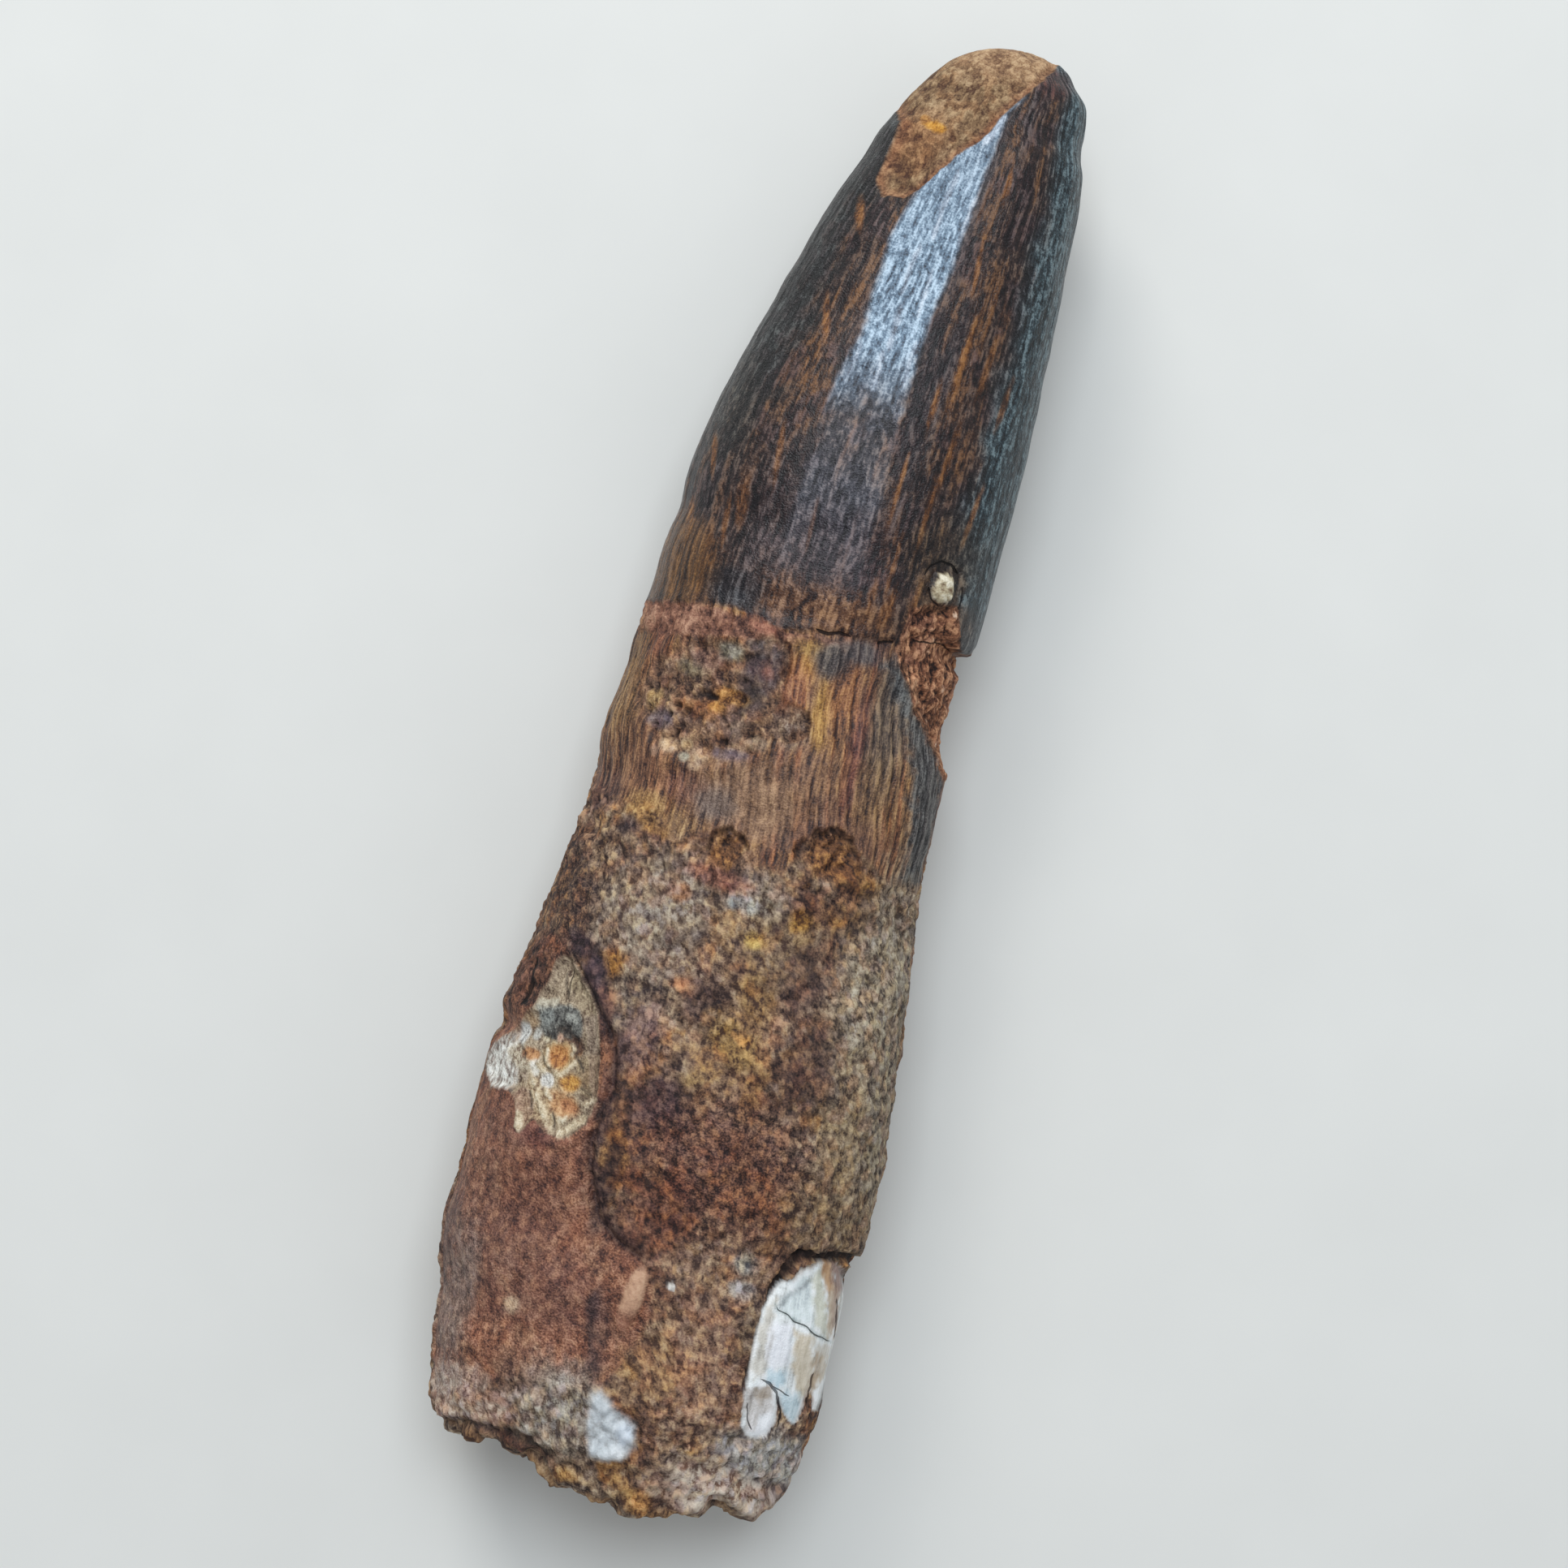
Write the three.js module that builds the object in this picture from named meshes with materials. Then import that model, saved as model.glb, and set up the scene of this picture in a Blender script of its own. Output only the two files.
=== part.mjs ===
// Fossil spinosaurus tooth, crown and root in one piece, lying on its side.
// Millimetres, +Z up. X runs across the tooth, Y runs from the broken root (-Y) to the worn tip (+Y).
// The origin is the bottom centre of the tooth's box: the tooth lies on a small flat strip at Z = 0.

import * as THREE from 'three';
import { mergeVertices } from 'three/addons/utils/BufferGeometryUtils.js';

// ---------------------------------------------------------------- driving dimensions
const TIP_Y = 55;             // the rounded, worn tip
const ROOT_Y = -52.2;         // where the side walls end at the broken root
const TIP_ROUND_Y = 47;       // the tip's rounding starts here
const AROUND = 60;            // vertices round a section
const BODY_ROWS = 62;         // sections between the tip and the broken edge
const CAP_ROWS = 8;           // rings across the broken end
const EDGE_ROUND = 1.5;       // radius of the broken edge
const MID_SHARE = 0.47;       // height of the widest line, as a share of the thickness
const SHIFT = { x: 0, y: 0 }; // plan position of the outline against the origin

// Side outline seen from above: [y, left x, right x]
const OUTLINE = [
  [-55, -11.9, 13.3], [-53, -12.0, 13.6], [-52, -12.13, 13.89], [-51, -12.53, 14.26], [-50, -12.88, 14.42],
  [-49, -13.15, 14.74], [-48, -13.23, 14.90], [-47, -13.48, 15.17], [-46, -13.70, 15.30], [-44, -13.80, 15.30],
  [-42, -14.35, 14.96], [-40, -14.93, 14.89], [-38, -15.12, 14.80], [-36, -15.01, 14.62], [-34, -15.05, 14.71],
  [-32, -15.09, 15.07], [-30, -15.22, 15.04], [-28, -15.22, 14.86], [-26, -15.31, 14.67], [-24, -15.12, 14.55],
  [-22, -14.99, 14.42], [-20, -14.67, 14.11], [-18, -14.31, 13.84], [-16, -14.19, 13.44], [-14, -14.08, 13.20],
  [-12, -13.88, 12.80], [-10, -13.77, 12.50], [-8, -13.52, 12.19], [-6, -13.30, 11.93], [-4, -13.27, 11.84],
  [-2, -13.57, 11.72], [0, -13.63, 11.56], [2, -13.39, 11.46], [4, -13.26, 10.97], [6, -13.28, 10.69],
  [8, -13.20, 10.72], [10, -13.07, 10.44], [12, -13.10, 10.85], [14, -12.94, 10.86], [16, -12.68, 10.84],
  [18, -12.81, 10.80], [20, -12.69, 10.78], [22, -12.45, 10.78], [24, -12.14, 10.72], [26, -11.73, 10.69],
  [28, -11.27, 10.55], [30, -10.80, 10.47], [32, -10.25, 10.30], [34, -9.83, 10.26], [36, -9.23, 10.15],
  [38, -8.78, 10.07], [40, -8.20, 9.89], [42, -7.53, 9.78], [44, -6.77, 9.62], [46, -6.22, 9.32],
  [47, -5.78, 9.12], [48, -5.32, 8.72], [49, -5.00, 8.50], [50, -4.49, 8.45], [51, -3.92, 8.30],
  [52, -3.28, 7.95], [53, -2.40, 6.94], [54, -1.03, 6.11], [54.5, 0.11, 5.05], [55, 2.70, 2.70],
];
// Broken end seen from above: [x, y of the edge]
const ROOT_EDGE = [
  [-16, -51.0], [-13.75, -51.2], [-12.75, -51.6], [-11.75, -52.4], [-10.75, -53.1], [-9.75, -53.3], [-8.75, -53.2],
  [-7.75, -52.9], [-6.75, -52.7], [-5.75, -53.0], [-4.75, -53.4], [-3.75, -53.3], [-2.75, -53.8], [-1.75, -54.6],
  [-0.75, -54.7], [0.25, -54.8], [1.25, -54.6], [2.25, -54.7], [3.25, -55.0], [4.25, -54.9], [5.25, -54.5],
  [6.25, -54.3], [7.25, -54.3], [8.25, -54.1], [9.25, -53.4], [10.25, -52.9], [11.25, -53.2], [12.25, -53.0],
  [13.25, -52.3], [14.25, -51.6], [16, -51.2],
];
// Thickness as a share of the width: [y, share]
const THICKNESS = [
  [-55, 0.66], [-45, 0.68], [-30, 0.695], [-15, 0.725], [0, 0.775], [15, 0.79], [30, 0.80], [44, 0.82], [55, 0.86],
];
// Height of the underside before it is laid flat: [y, z]
const UNDERSIDE = [
  [-55, 1.3], [-50, 0.6], [-45, 0.1], [-38, -0.32], [-25, -0.38], [-10, -0.36], [4, -0.3], [13, 0.0], [25, 0.85],
  [35, 2.0], [45, 4.0], [50, 5.3], [55, 6.4],
];
// Squareness of the section, 2 being an ellipse: [y, exponent]
const SQUARE = [[-55, 2.35], [-40, 2.3], [-15, 2.2], [10, 2.1], [40, 2.04], [55, 2.0]];

// ---------------------------------------------------------------- curves
// A smooth curve through a table's points, with the tangents of its neighbours.
function smooth(table, x, col = 1) {
  const n = table.length;
  if (x <= table[0][0]) return table[0][col];
  if (x >= table[n - 1][0]) return table[n - 1][col];
  let i = 0;
  while (table[i + 1][0] < x) i += 1;
  const tangent = (k) => {
    const a = Math.max(k - 1, 0);
    const b = Math.min(k + 1, n - 1);
    return (table[b][col] - table[a][col]) / (table[b][0] - table[a][0]);
  };
  const h = table[i + 1][0] - table[i][0];
  const t = (x - table[i][0]) / h;
  const t2 = t * t;
  const t3 = t2 * t;
  return (2 * t3 - 3 * t2 + 1) * table[i][col] + (t3 - 2 * t2 + t) * h * tangent(i)
    + (-2 * t3 + 3 * t2) * table[i + 1][col] + (t3 - t2) * h * tangent(i + 1);
}

const step = (a, b, x) => THREE.MathUtils.smoothstep(x, a, b);
const power = (v, p) => Math.sign(v) * Math.abs(v) ** p;

// Left and right x at y. The last stretch to the tip closes as a round end.
function sides(y) {
  if (y > 54) {
    const left = OUTLINE[OUTLINE.length - 3];
    const f = Math.sqrt(Math.max(0, TIP_Y - y));
    return [2.7 + (left[1] - 2.7) * f, 2.7 + (left[2] - 2.7) * f];
  }
  return [smooth(OUTLINE, y, 1), smooth(OUTLINE, y, 2)];
}

// The section at y: its centre, half width, widest height, and half heights above and below.
function section(y) {
  const [left, right] = sides(y);
  const w = (right - left) / 2;
  const thick = 2 * w * smooth(THICKNESS, y);
  // towards the tip the section closes on the axis height, not on the underside's line
  const axis = smooth(UNDERSIDE, Math.min(y, TIP_ROUND_Y)) + MID_SHARE * 2 * smooth(THICKNESS, Math.min(y, TIP_ROUND_Y))
    * (sides(Math.min(y, TIP_ROUND_Y))[1] - sides(Math.min(y, TIP_ROUND_Y))[0]) / 2;
  const mid = y > TIP_ROUND_Y
    ? axis - 0.055 * (y - TIP_ROUND_Y)
    : smooth(UNDERSIDE, y) + MID_SHARE * thick;
  return { x: (left + right) / 2, w, mid, up: thick * (1 - MID_SHARE), down: thick * MID_SHARE, p: 2 / smooth(SQUARE, y) };
}

// ---------------------------------------------------------------- relief, in plan view on the upper side
// Signed distance to a closed outline, negative inside.
function outlineDistance(points, x, y) {
  let d = Infinity;
  let inside = false;
  for (let i = 0, j = points.length - 1; i < points.length; j = i, i += 1) {
    const [ax, ay] = points[j];
    const [bx, by] = points[i];
    const ex = bx - ax;
    const ey = by - ay;
    const t = THREE.MathUtils.clamp(((x - ax) * ex + (y - ay) * ey) / (ex * ex + ey * ey), 0, 1);
    d = Math.min(d, Math.hypot(x - ax - t * ex, y - ay - t * ey));
    if ((ay > y) !== (by > y) && x < ax + ((y - ay) * ex) / ey) inside = !inside;
  }
  return inside ? -d : d;
}
const within = (points, x, y, soft) => 1 - step(-soft, soft, outlineDistance(points, x, y));

// Chipped tip: the enamel has spalled off the upper left of the tip, down to a sandy core.
const SPALL = [[-5.2, 43.5], [-4.5, 41.5], [-2.1, 42.8], [0.1, 45.6], [2.6, 48.8], [5.0, 52.3], [6.0, 54.5], [0, 56], [-5, 52], [-6.5, 46]];
// Gritty hollow below the enamel's lower right corner.
const GRIT = [[5.9, 11.4], [8.5, 13.0], [12.5, 11.2], [13, 5], [12, 1.5], [10.4, 3.4], [8.3, 6.6], [6.6, 8.6]];
// Leaf-shaped break in the lower left of the root.
const LEAF = [[-11.1, -16.8], [-9.6, -17.6], [-8.0, -20.4], [-7.2, -23.8], [-6.4, -27.2], [-8.6, -29.2], [-11.4, -28.6], [-13.2, -26.9], [-15.4, -25.2], [-15.8, -22.6], [-13.6, -20.6], [-11.9, -18.4]];
// Pocket on the lower right that holds a pale fragment, flush with the surface.
const POCKET = [[10.4, -32.9], [13.8, -32.4], [14.6, -35.4], [15.4, -42.3], [13.7, -44.9], [10.6, -46.0], [9.3, -44.6], [8.6, -39.8], [8.9, -36.2]];
// Smoother, lower ground on the left of the root, bounded by a groove.
const GROUND = [[-8.0, -18.6], [-6.6, -22.4], [-5.6, -27.9], [-4.3, -33.4], [-2.3, -35.4], [0.2, -36.6], [0.6, -39.6], [-0.8, -42.6], [-3.2, -46], [-8, -49], [-16, -50], [-18, -30], [-12, -18]];

function relief(x, y) {
  let d = 0;
  const spall = outlineDistance(SPALL, x, y);
  if (spall < 1.5) d -= 0.75 * (1 - step(-1.6, 0.2, spall));
  d -= 0.55 * within(GRIT, x, y, 0.7);
  d -= 0.55 * within(LEAF, x, y, 0.7);
  const pocket = outlineDistance(POCKET, x, y);
  d -= 0.35 * Math.exp(-((pocket / 0.8) ** 2));
  const ground = outlineDistance(GROUND, x, y);
  d -= 0.3 * (1 - step(-0.8, 0.6, ground)) + 0.35 * Math.exp(-((ground / 0.9) ** 2));
  return d;
}

// Long undulations of the worn root and crown.
function undulation(y, a) {
  const root = 1 - step(-2, 14, y);
  return root * (0.16 * Math.sin(0.31 * y + 2.0 * a + 0.6) + 0.12 * Math.sin(0.17 * y - 3.0 * a + 2.1) + 0.10 * Math.sin(0.52 * y + 5.0 * a))
    + (1 - root) * 0.05 * Math.cos(9 * a + 0.04 * y);
}

// ---------------------------------------------------------------- surface
// A point of the side wall: y along the tooth, a the angle round it from +X.
function wall(y, a) {
  const s = section(y);
  const c = Math.cos(a);
  const n = Math.sin(a);
  let x = s.x + s.w * power(c, s.p);
  let z = s.mid + (n >= 0 ? s.up : s.down) * power(n, s.p);
  // waviness along the section's own normal, dying out at the tip
  const nx = c / s.w;
  const nz = n / (n >= 0 ? s.up : s.down);
  const nl = Math.hypot(nx, nz) || 1;
  const calm = 1 - step(50, 54.5, y);
  const side = 1 - 0.8 * step(0.86, 0.99, Math.abs(c)); // the outline itself stays as measured
  const g = undulation(y, a) * calm * side + relief(x, y) * step(0.02, 0.45, n);
  x += (g * nx) / nl;
  z += (g * nz) / nl;
  return [x, z];
}

// y of the broken end's face. It leans out a little towards the underside.
function endFace(x, z, h) {
  return smooth(ROOT_EDGE, x) + 0.05 * (z - h) - 0.1
    + 0.22 * Math.sin(0.62 * x + 0.5 * z) + 0.16 * Math.sin(0.4 * x - 0.95 * z + 1.0);
}

function bodyY(t) {
  const straight = 0.87;
  if (t < straight) return ROOT_Y + ((TIP_ROUND_Y - ROOT_Y) * t) / straight;
  return TIP_ROUND_Y + (TIP_Y - TIP_ROUND_Y) * Math.sin((Math.PI / 2) * (t - straight) / (1 - straight));
}

function toothGeometry() {
  const rows = BODY_ROWS + CAP_ROWS;
  const geometry = new THREE.SphereGeometry(1, AROUND, rows);
  const position = geometry.attributes.position;
  const rim = [];
  const base = section(ROOT_Y);
  for (let i = 0; i <= AROUND; i += 1) {
    const a = Math.PI - (2 * Math.PI * i) / AROUND;
    const [x, z] = wall(ROOT_Y, a);
    rim.push({ a, y: Math.max(endFace(x, z, base.mid), -TIP_Y) + EDGE_ROUND });
  }
  for (let j = 0; j <= rows; j += 1) {
    for (let i = 0; i <= AROUND; i += 1) {
      const k = j * (AROUND + 1) + i;
      const r = rim[i];
      let x;
      let y;
      let z;
      if (j <= BODY_ROWS) {
        const t = 1 - j / BODY_ROWS;
        const straightY = bodyY(t);
        const fade = (1 - step(0, 0.16, t)) * (r.y - ROOT_Y);
        y = straightY + fade;
        if (j === 0) {
          const s = section(TIP_Y);
          x = s.x;
          z = s.mid;
          y = TIP_Y;
        } else {
          [x, z] = wall(y, r.a);
        }
        // the tooth has settled on a worn strip of its underside
        z = Math.max(z, 0);
      } else {
        const f = (rows - j) / CAP_ROWS; // 1 at the edge, 0 in the middle
        const [rx, rz] = wall(r.y, r.a);
        const len = Math.hypot(rx - base.x, rz - base.mid);
        // the first two rings turn the rounded edge, the others cross the face
        const turn = Math.min(1, (1 - f) * (CAP_ROWS / 2)) * (Math.PI / 2);
        const q = f > 0.76
          ? 1 - (EDGE_ROUND * (1 - Math.cos(turn))) / len
          : (f / 0.75) * (1 - EDGE_ROUND / len);
        x = base.x + (rx - base.x) * q;
        z = Math.max(base.mid + (Math.max(rz, 0) - base.mid) * q, 0);
        // the pulp cavity's sandy fill is worn a little lower than the ring of dentine round it
        const hollow = 0.7 * (1 - step(0.35, 0.62, q));
        const face = Math.max(endFace(x, z, base.mid), -TIP_Y);
        y = f > 0.76 ? THREE.MathUtils.lerp(face, r.y, 1 - Math.sin(turn)) : face + hollow;
        if (j === rows) {
          x = base.x;
          z = base.mid;
          y = endFace(x, z, base.mid) + 0.7;
        }
      }
      position.setXYZ(k, x + SHIFT.x, y + SHIFT.y, z);
    }
  }
  geometry.deleteAttribute('normal');
  geometry.deleteAttribute('uv');
  const closed = mergeVertices(geometry, 1e-4);
  closed.computeVertexNormals();
  return closed;
}

// ---------------------------------------------------------------- the tooth
const tooth = new THREE.Mesh(
  toothGeometry(),
  new THREE.MeshStandardMaterial({ name: 'fossil dentine and enamel', color: 0x5a3b2a, roughness: 0.62, metalness: 0 }),
);
tooth.name = 'tooth';

const group = new THREE.Group();
group.add(tooth);

export default group;
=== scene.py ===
import math

import bpy
import numpy as np
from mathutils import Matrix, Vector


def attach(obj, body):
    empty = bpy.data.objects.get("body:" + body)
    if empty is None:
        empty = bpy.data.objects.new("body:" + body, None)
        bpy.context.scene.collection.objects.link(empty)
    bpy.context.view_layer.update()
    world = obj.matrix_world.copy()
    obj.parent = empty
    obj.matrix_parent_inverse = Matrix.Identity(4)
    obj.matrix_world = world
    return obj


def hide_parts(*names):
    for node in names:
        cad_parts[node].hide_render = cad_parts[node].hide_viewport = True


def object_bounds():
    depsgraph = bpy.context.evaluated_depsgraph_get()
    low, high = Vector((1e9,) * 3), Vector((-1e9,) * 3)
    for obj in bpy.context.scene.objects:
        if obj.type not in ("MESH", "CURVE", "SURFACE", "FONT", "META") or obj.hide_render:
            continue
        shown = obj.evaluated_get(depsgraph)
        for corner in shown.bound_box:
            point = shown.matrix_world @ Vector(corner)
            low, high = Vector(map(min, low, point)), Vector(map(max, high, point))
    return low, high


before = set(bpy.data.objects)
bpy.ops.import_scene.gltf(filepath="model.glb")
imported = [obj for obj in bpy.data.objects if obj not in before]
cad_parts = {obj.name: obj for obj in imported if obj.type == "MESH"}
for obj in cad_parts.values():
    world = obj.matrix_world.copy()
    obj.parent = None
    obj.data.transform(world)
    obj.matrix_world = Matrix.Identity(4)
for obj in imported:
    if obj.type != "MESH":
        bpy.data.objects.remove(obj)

CAD_BOX = [list(v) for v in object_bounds()]

# =====================================================================================================================
# Everything below is worked out in millimetres, in the frame of the CAD model: X across the tooth, Y along it with the
# tip at +Y, Z up. The mesh is written in metres at the end.
# =====================================================================================================================

# ------------------------------------------------------------------ camera facts, also used to place features
PX = 0.0596746                     # mm per frame pixel at the height of the tooth's outline
FRAME = 1932
CAM_X, CAM_Y = 0.240, -1.593       # the point of the tooth under the middle of the frame
ROLL = math.radians(15.85)         # the tooth leans this much to the right in the frame
SIL_Z = 9.5                        # height of the outline
CAM_D = 240.0                      # camera height above the outline


def pm(px, py):
    """A frame pixel as a point of the outline's plane, in mm."""
    dx, dy = px - FRAME / 2, FRAME / 2 - py
    return (CAM_X + PX * (dx * math.cos(ROLL) - dy * math.sin(ROLL)),
            CAM_Y + PX * (dx * math.sin(ROLL) + dy * math.cos(ROLL)))


def pms(points):
    return np.array([pm(*p) for p in points])


# ------------------------------------------------------------------ the CAD model's form, from its own tables
TIP_Y, ROOT_Y, TIP_ROUND_Y, EDGE_ROUND, MID_SHARE = 55.0, -52.2, 47.0, 1.5, 0.47
OUTLINE = np.array([
    [-55, -11.9, 13.3], [-53, -12.0, 13.6], [-52, -12.13, 13.89], [-51, -12.53, 14.26], [-50, -12.88, 14.42],
    [-49, -13.15, 14.74], [-48, -13.23, 14.90], [-47, -13.48, 15.17], [-46, -13.70, 15.30], [-44, -13.80, 15.30],
    [-42, -14.35, 14.96], [-40, -14.93, 14.89], [-38, -15.12, 14.80], [-36, -15.01, 14.62], [-34, -15.05, 14.71],
    [-32, -15.09, 15.07], [-30, -15.22, 15.04], [-28, -15.22, 14.86], [-26, -15.31, 14.67], [-24, -15.12, 14.55],
    [-22, -14.99, 14.42], [-20, -14.67, 14.11], [-18, -14.31, 13.84], [-16, -14.19, 13.44], [-14, -14.08, 13.20],
    [-12, -13.88, 12.80], [-10, -13.77, 12.50], [-8, -13.52, 12.19], [-6, -13.30, 11.93], [-4, -13.27, 11.84],
    [-2, -13.57, 11.72], [0, -13.63, 11.56], [2, -13.39, 11.46], [4, -13.26, 10.97], [6, -13.28, 10.69],
    [8, -13.20, 10.72], [10, -13.07, 10.44], [12, -13.10, 10.85], [14, -12.94, 10.86], [16, -12.68, 10.84],
    [18, -12.81, 10.80], [20, -12.69, 10.78], [22, -12.45, 10.78], [24, -12.14, 10.72], [26, -11.73, 10.69],
    [28, -11.27, 10.55], [30, -10.80, 10.47], [32, -10.25, 10.30], [34, -9.83, 10.26], [36, -9.23, 10.15],
    [38, -8.78, 10.07], [40, -8.20, 9.89], [42, -7.53, 9.78], [44, -6.77, 9.62], [46, -6.22, 9.32],
    [47, -5.78, 9.12], [48, -5.32, 8.72], [49, -5.00, 8.50], [50, -4.49, 8.45], [51, -3.92, 8.30],
    [52, -3.28, 7.95], [53, -2.40, 6.94], [54, -1.03, 6.11], [54.5, 0.11, 5.05], [55, 2.70, 2.70]])
ROOT_EDGE = np.array([
    [-16, -51.0], [-13.75, -51.2], [-12.75, -51.6], [-11.75, -52.4], [-10.75, -53.1], [-9.75, -53.3], [-8.75, -53.2],
    [-7.75, -52.9], [-6.75, -52.7], [-5.75, -53.0], [-4.75, -53.4], [-3.75, -53.3], [-2.75, -53.8], [-1.75, -54.6],
    [-0.75, -54.7], [0.25, -54.8], [1.25, -54.6], [2.25, -54.7], [3.25, -55.0], [4.25, -54.9], [5.25, -54.5],
    [6.25, -54.3], [7.25, -54.3], [8.25, -54.1], [9.25, -53.4], [10.25, -52.9], [11.25, -53.2], [12.25, -53.0],
    [13.25, -52.3], [14.25, -51.6], [16, -51.2]])
THICKNESS = np.array([[-55, 0.66], [-45, 0.68], [-30, 0.695], [-15, 0.725], [0, 0.775], [15, 0.79], [30, 0.80],
                      [44, 0.82], [55, 0.86]])
UNDERSIDE = np.array([[-55, 1.3], [-50, 0.6], [-45, 0.1], [-38, -0.32], [-25, -0.38], [-10, -0.36], [4, -0.3],
                      [13, 0.0], [25, 0.85], [35, 2.0], [45, 4.0], [50, 5.3], [55, 6.4]])
SQUARE = np.array([[-55, 2.35], [-40, 2.3], [-15, 2.2], [10, 2.1], [40, 2.04], [55, 2.0]])


def smooth(table, x, col=1):
    """A smooth curve through a table's points, with the tangents of its neighbours."""
    n = len(table)
    xs, ys = table[:, 0], table[:, col]
    x = np.clip(np.asarray(x, float), xs[0], xs[-1])
    i = np.clip(np.searchsorted(xs, x, side="left") - 1, 0, n - 2)
    lo, hi = np.maximum(np.arange(n) - 1, 0), np.minimum(np.arange(n) + 1, n - 1)
    tan = (ys[hi] - ys[lo]) / (xs[hi] - xs[lo])
    h = xs[i + 1] - xs[i]
    t = (x - xs[i]) / h
    t2, t3 = t * t, t * t * t
    return ((2 * t3 - 3 * t2 + 1) * ys[i] + (t3 - 2 * t2 + t) * h * tan[i]
            + (-2 * t3 + 3 * t2) * ys[i + 1] + (t3 - t2) * h * tan[i + 1])


def step(a, b, x):
    t = np.clip((x - a) / (b - a), 0, 1)
    return t * t * (3 - 2 * t)


def power(v, p):
    return np.sign(v) * np.abs(v) ** p


def sides(y):
    left, right = smooth(OUTLINE, y, 1), smooth(OUTLINE, y, 2)
    f = np.sqrt(np.maximum(0, TIP_Y - y))
    tip = y > 54
    return (np.where(tip, 2.7 + (OUTLINE[-3, 1] - 2.7) * f, left),
            np.where(tip, 2.7 + (OUTLINE[-3, 2] - 2.7) * f, right))


def section(y):
    y = np.asarray(y, float)
    left, right = sides(y)
    w = (right - left) / 2
    thick = 2 * w * smooth(THICKNESS, y)
    yr = np.minimum(y, TIP_ROUND_Y)
    lr, rr = sides(yr)
    axis = smooth(UNDERSIDE, yr) + MID_SHARE * smooth(THICKNESS, yr) * (rr - lr)
    mid = np.where(y > TIP_ROUND_Y, axis - 0.055 * (y - TIP_ROUND_Y), smooth(UNDERSIDE, y) + MID_SHARE * thick)
    return (left + right) / 2, w, mid, thick * (1 - MID_SHARE), thick * MID_SHARE, 2 / smooth(SQUARE, y)


def undulation(y, a):
    root = 1 - step(-2, 14, y)
    return (root * (0.16 * np.sin(0.31 * y + 2.0 * a + 0.6) + 0.12 * np.sin(0.17 * y - 3.0 * a + 2.1)
                    + 0.10 * np.sin(0.52 * y + 5.0 * a))
            + (1 - root) * 0.05 * np.cos(9 * a + 0.04 * y))


def wall(y, a):
    xc, w, mid, up, down, p = section(y)
    c, n = np.cos(a), np.sin(a)
    h = np.where(n >= 0, up, down)
    x = xc + w * power(c, p)
    z = mid + h * power(n, p)
    nx, nz = c / np.maximum(w, 1e-6), n / np.maximum(h, 1e-6)
    nl = np.hypot(nx, nz)
    g = undulation(y, a) * (1 - step(50, 54.5, y)) * (1 - 0.8 * step(0.86, 0.99, np.abs(c)))
    return x + g * nx / nl, z + g * nz / nl


def end_face(x, z, h):
    return (smooth(ROOT_EDGE, x) + 0.05 * (z - h) - 0.1
            + 0.22 * np.sin(0.62 * x + 0.5 * z) + 0.16 * np.sin(0.4 * x - 0.95 * z + 1.0))


# ------------------------------------------------------------------ seeded noise
def _hash(ix, iy, iz, seed):
    h = (ix * 73856093) ^ (iy * 19349663) ^ (iz * 83492791) ^ (seed * 2654435761 % 4294967296)
    h &= 0xFFFFFFFF
    h = ((h ^ (h >> 16)) * 0x45D9F3B) & 0xFFFFFFFF
    h = ((h ^ (h >> 16)) * 0x45D9F3B) & 0xFFFFFFFF
    return h ^ (h >> 16)


_rs = np.random.RandomState(71)
_G = _rs.normal(size=(256, 3))
_G /= np.linalg.norm(_G, axis=1)[:, None]


def gnoise(p, seed=0):
    """Gradient noise of points p (n, 3), about -1..1."""
    f = np.floor(p)
    i = f.astype(np.int64)
    r = p - f
    u = r * r * r * (r * (r * 6 - 15) + 10)
    out = 0
    for dx in (0, 1):
        wx = u[:, 0] if dx else 1 - u[:, 0]
        for dy in (0, 1):
            wy = u[:, 1] if dy else 1 - u[:, 1]
            for dz in (0, 1):
                wz = u[:, 2] if dz else 1 - u[:, 2]
                g = _G[_hash(i[:, 0] + dx, i[:, 1] + dy, i[:, 2] + dz, seed) & 255]
                out = out + wx * wy * wz * (g[:, 0] * (r[:, 0] - dx) + g[:, 1] * (r[:, 1] - dy) + g[:, 2] * (r[:, 2] - dz))
    return out * 1.6


def fbm(p, octaves=4, seed=0, gain=0.5):
    out, amp, total = 0, 1.0, 0.0
    for k in range(octaves):
        out = out + amp * gnoise(p * (2.03 ** k) + 17.3 * k, seed + k)
        total += amp
        amp *= gain
    return out / total


def cells(p, seed=0):
    """Cell noise: nearest and second nearest distance, and a random number of the nearest cell."""
    i = np.floor(p).astype(np.int64)
    f1 = np.full(len(p), 9.0)
    f2 = np.full(len(p), 9.0)
    who = np.zeros(len(p))
    for dx in (-1, 0, 1):
        for dy in (-1, 0, 1):
            for dz in (-1, 0, 1):
                c = i + (dx, dy, dz)
                h = _hash(c[:, 0], c[:, 1], c[:, 2], seed)
                q = c + np.stack([(h & 1023) / 1023, ((h >> 10) & 1023) / 1023, ((h >> 20) & 1023) / 1023], 1)
                d = np.sqrt(((p - q) ** 2).sum(1))
                near = d < f1
                f2 = np.where(near, f1, np.minimum(f2, d))
                who = np.where(near, (h & 65535) / 65535, who)
                f1 = np.where(near, d, f1)
    return f1, f2, who


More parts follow.
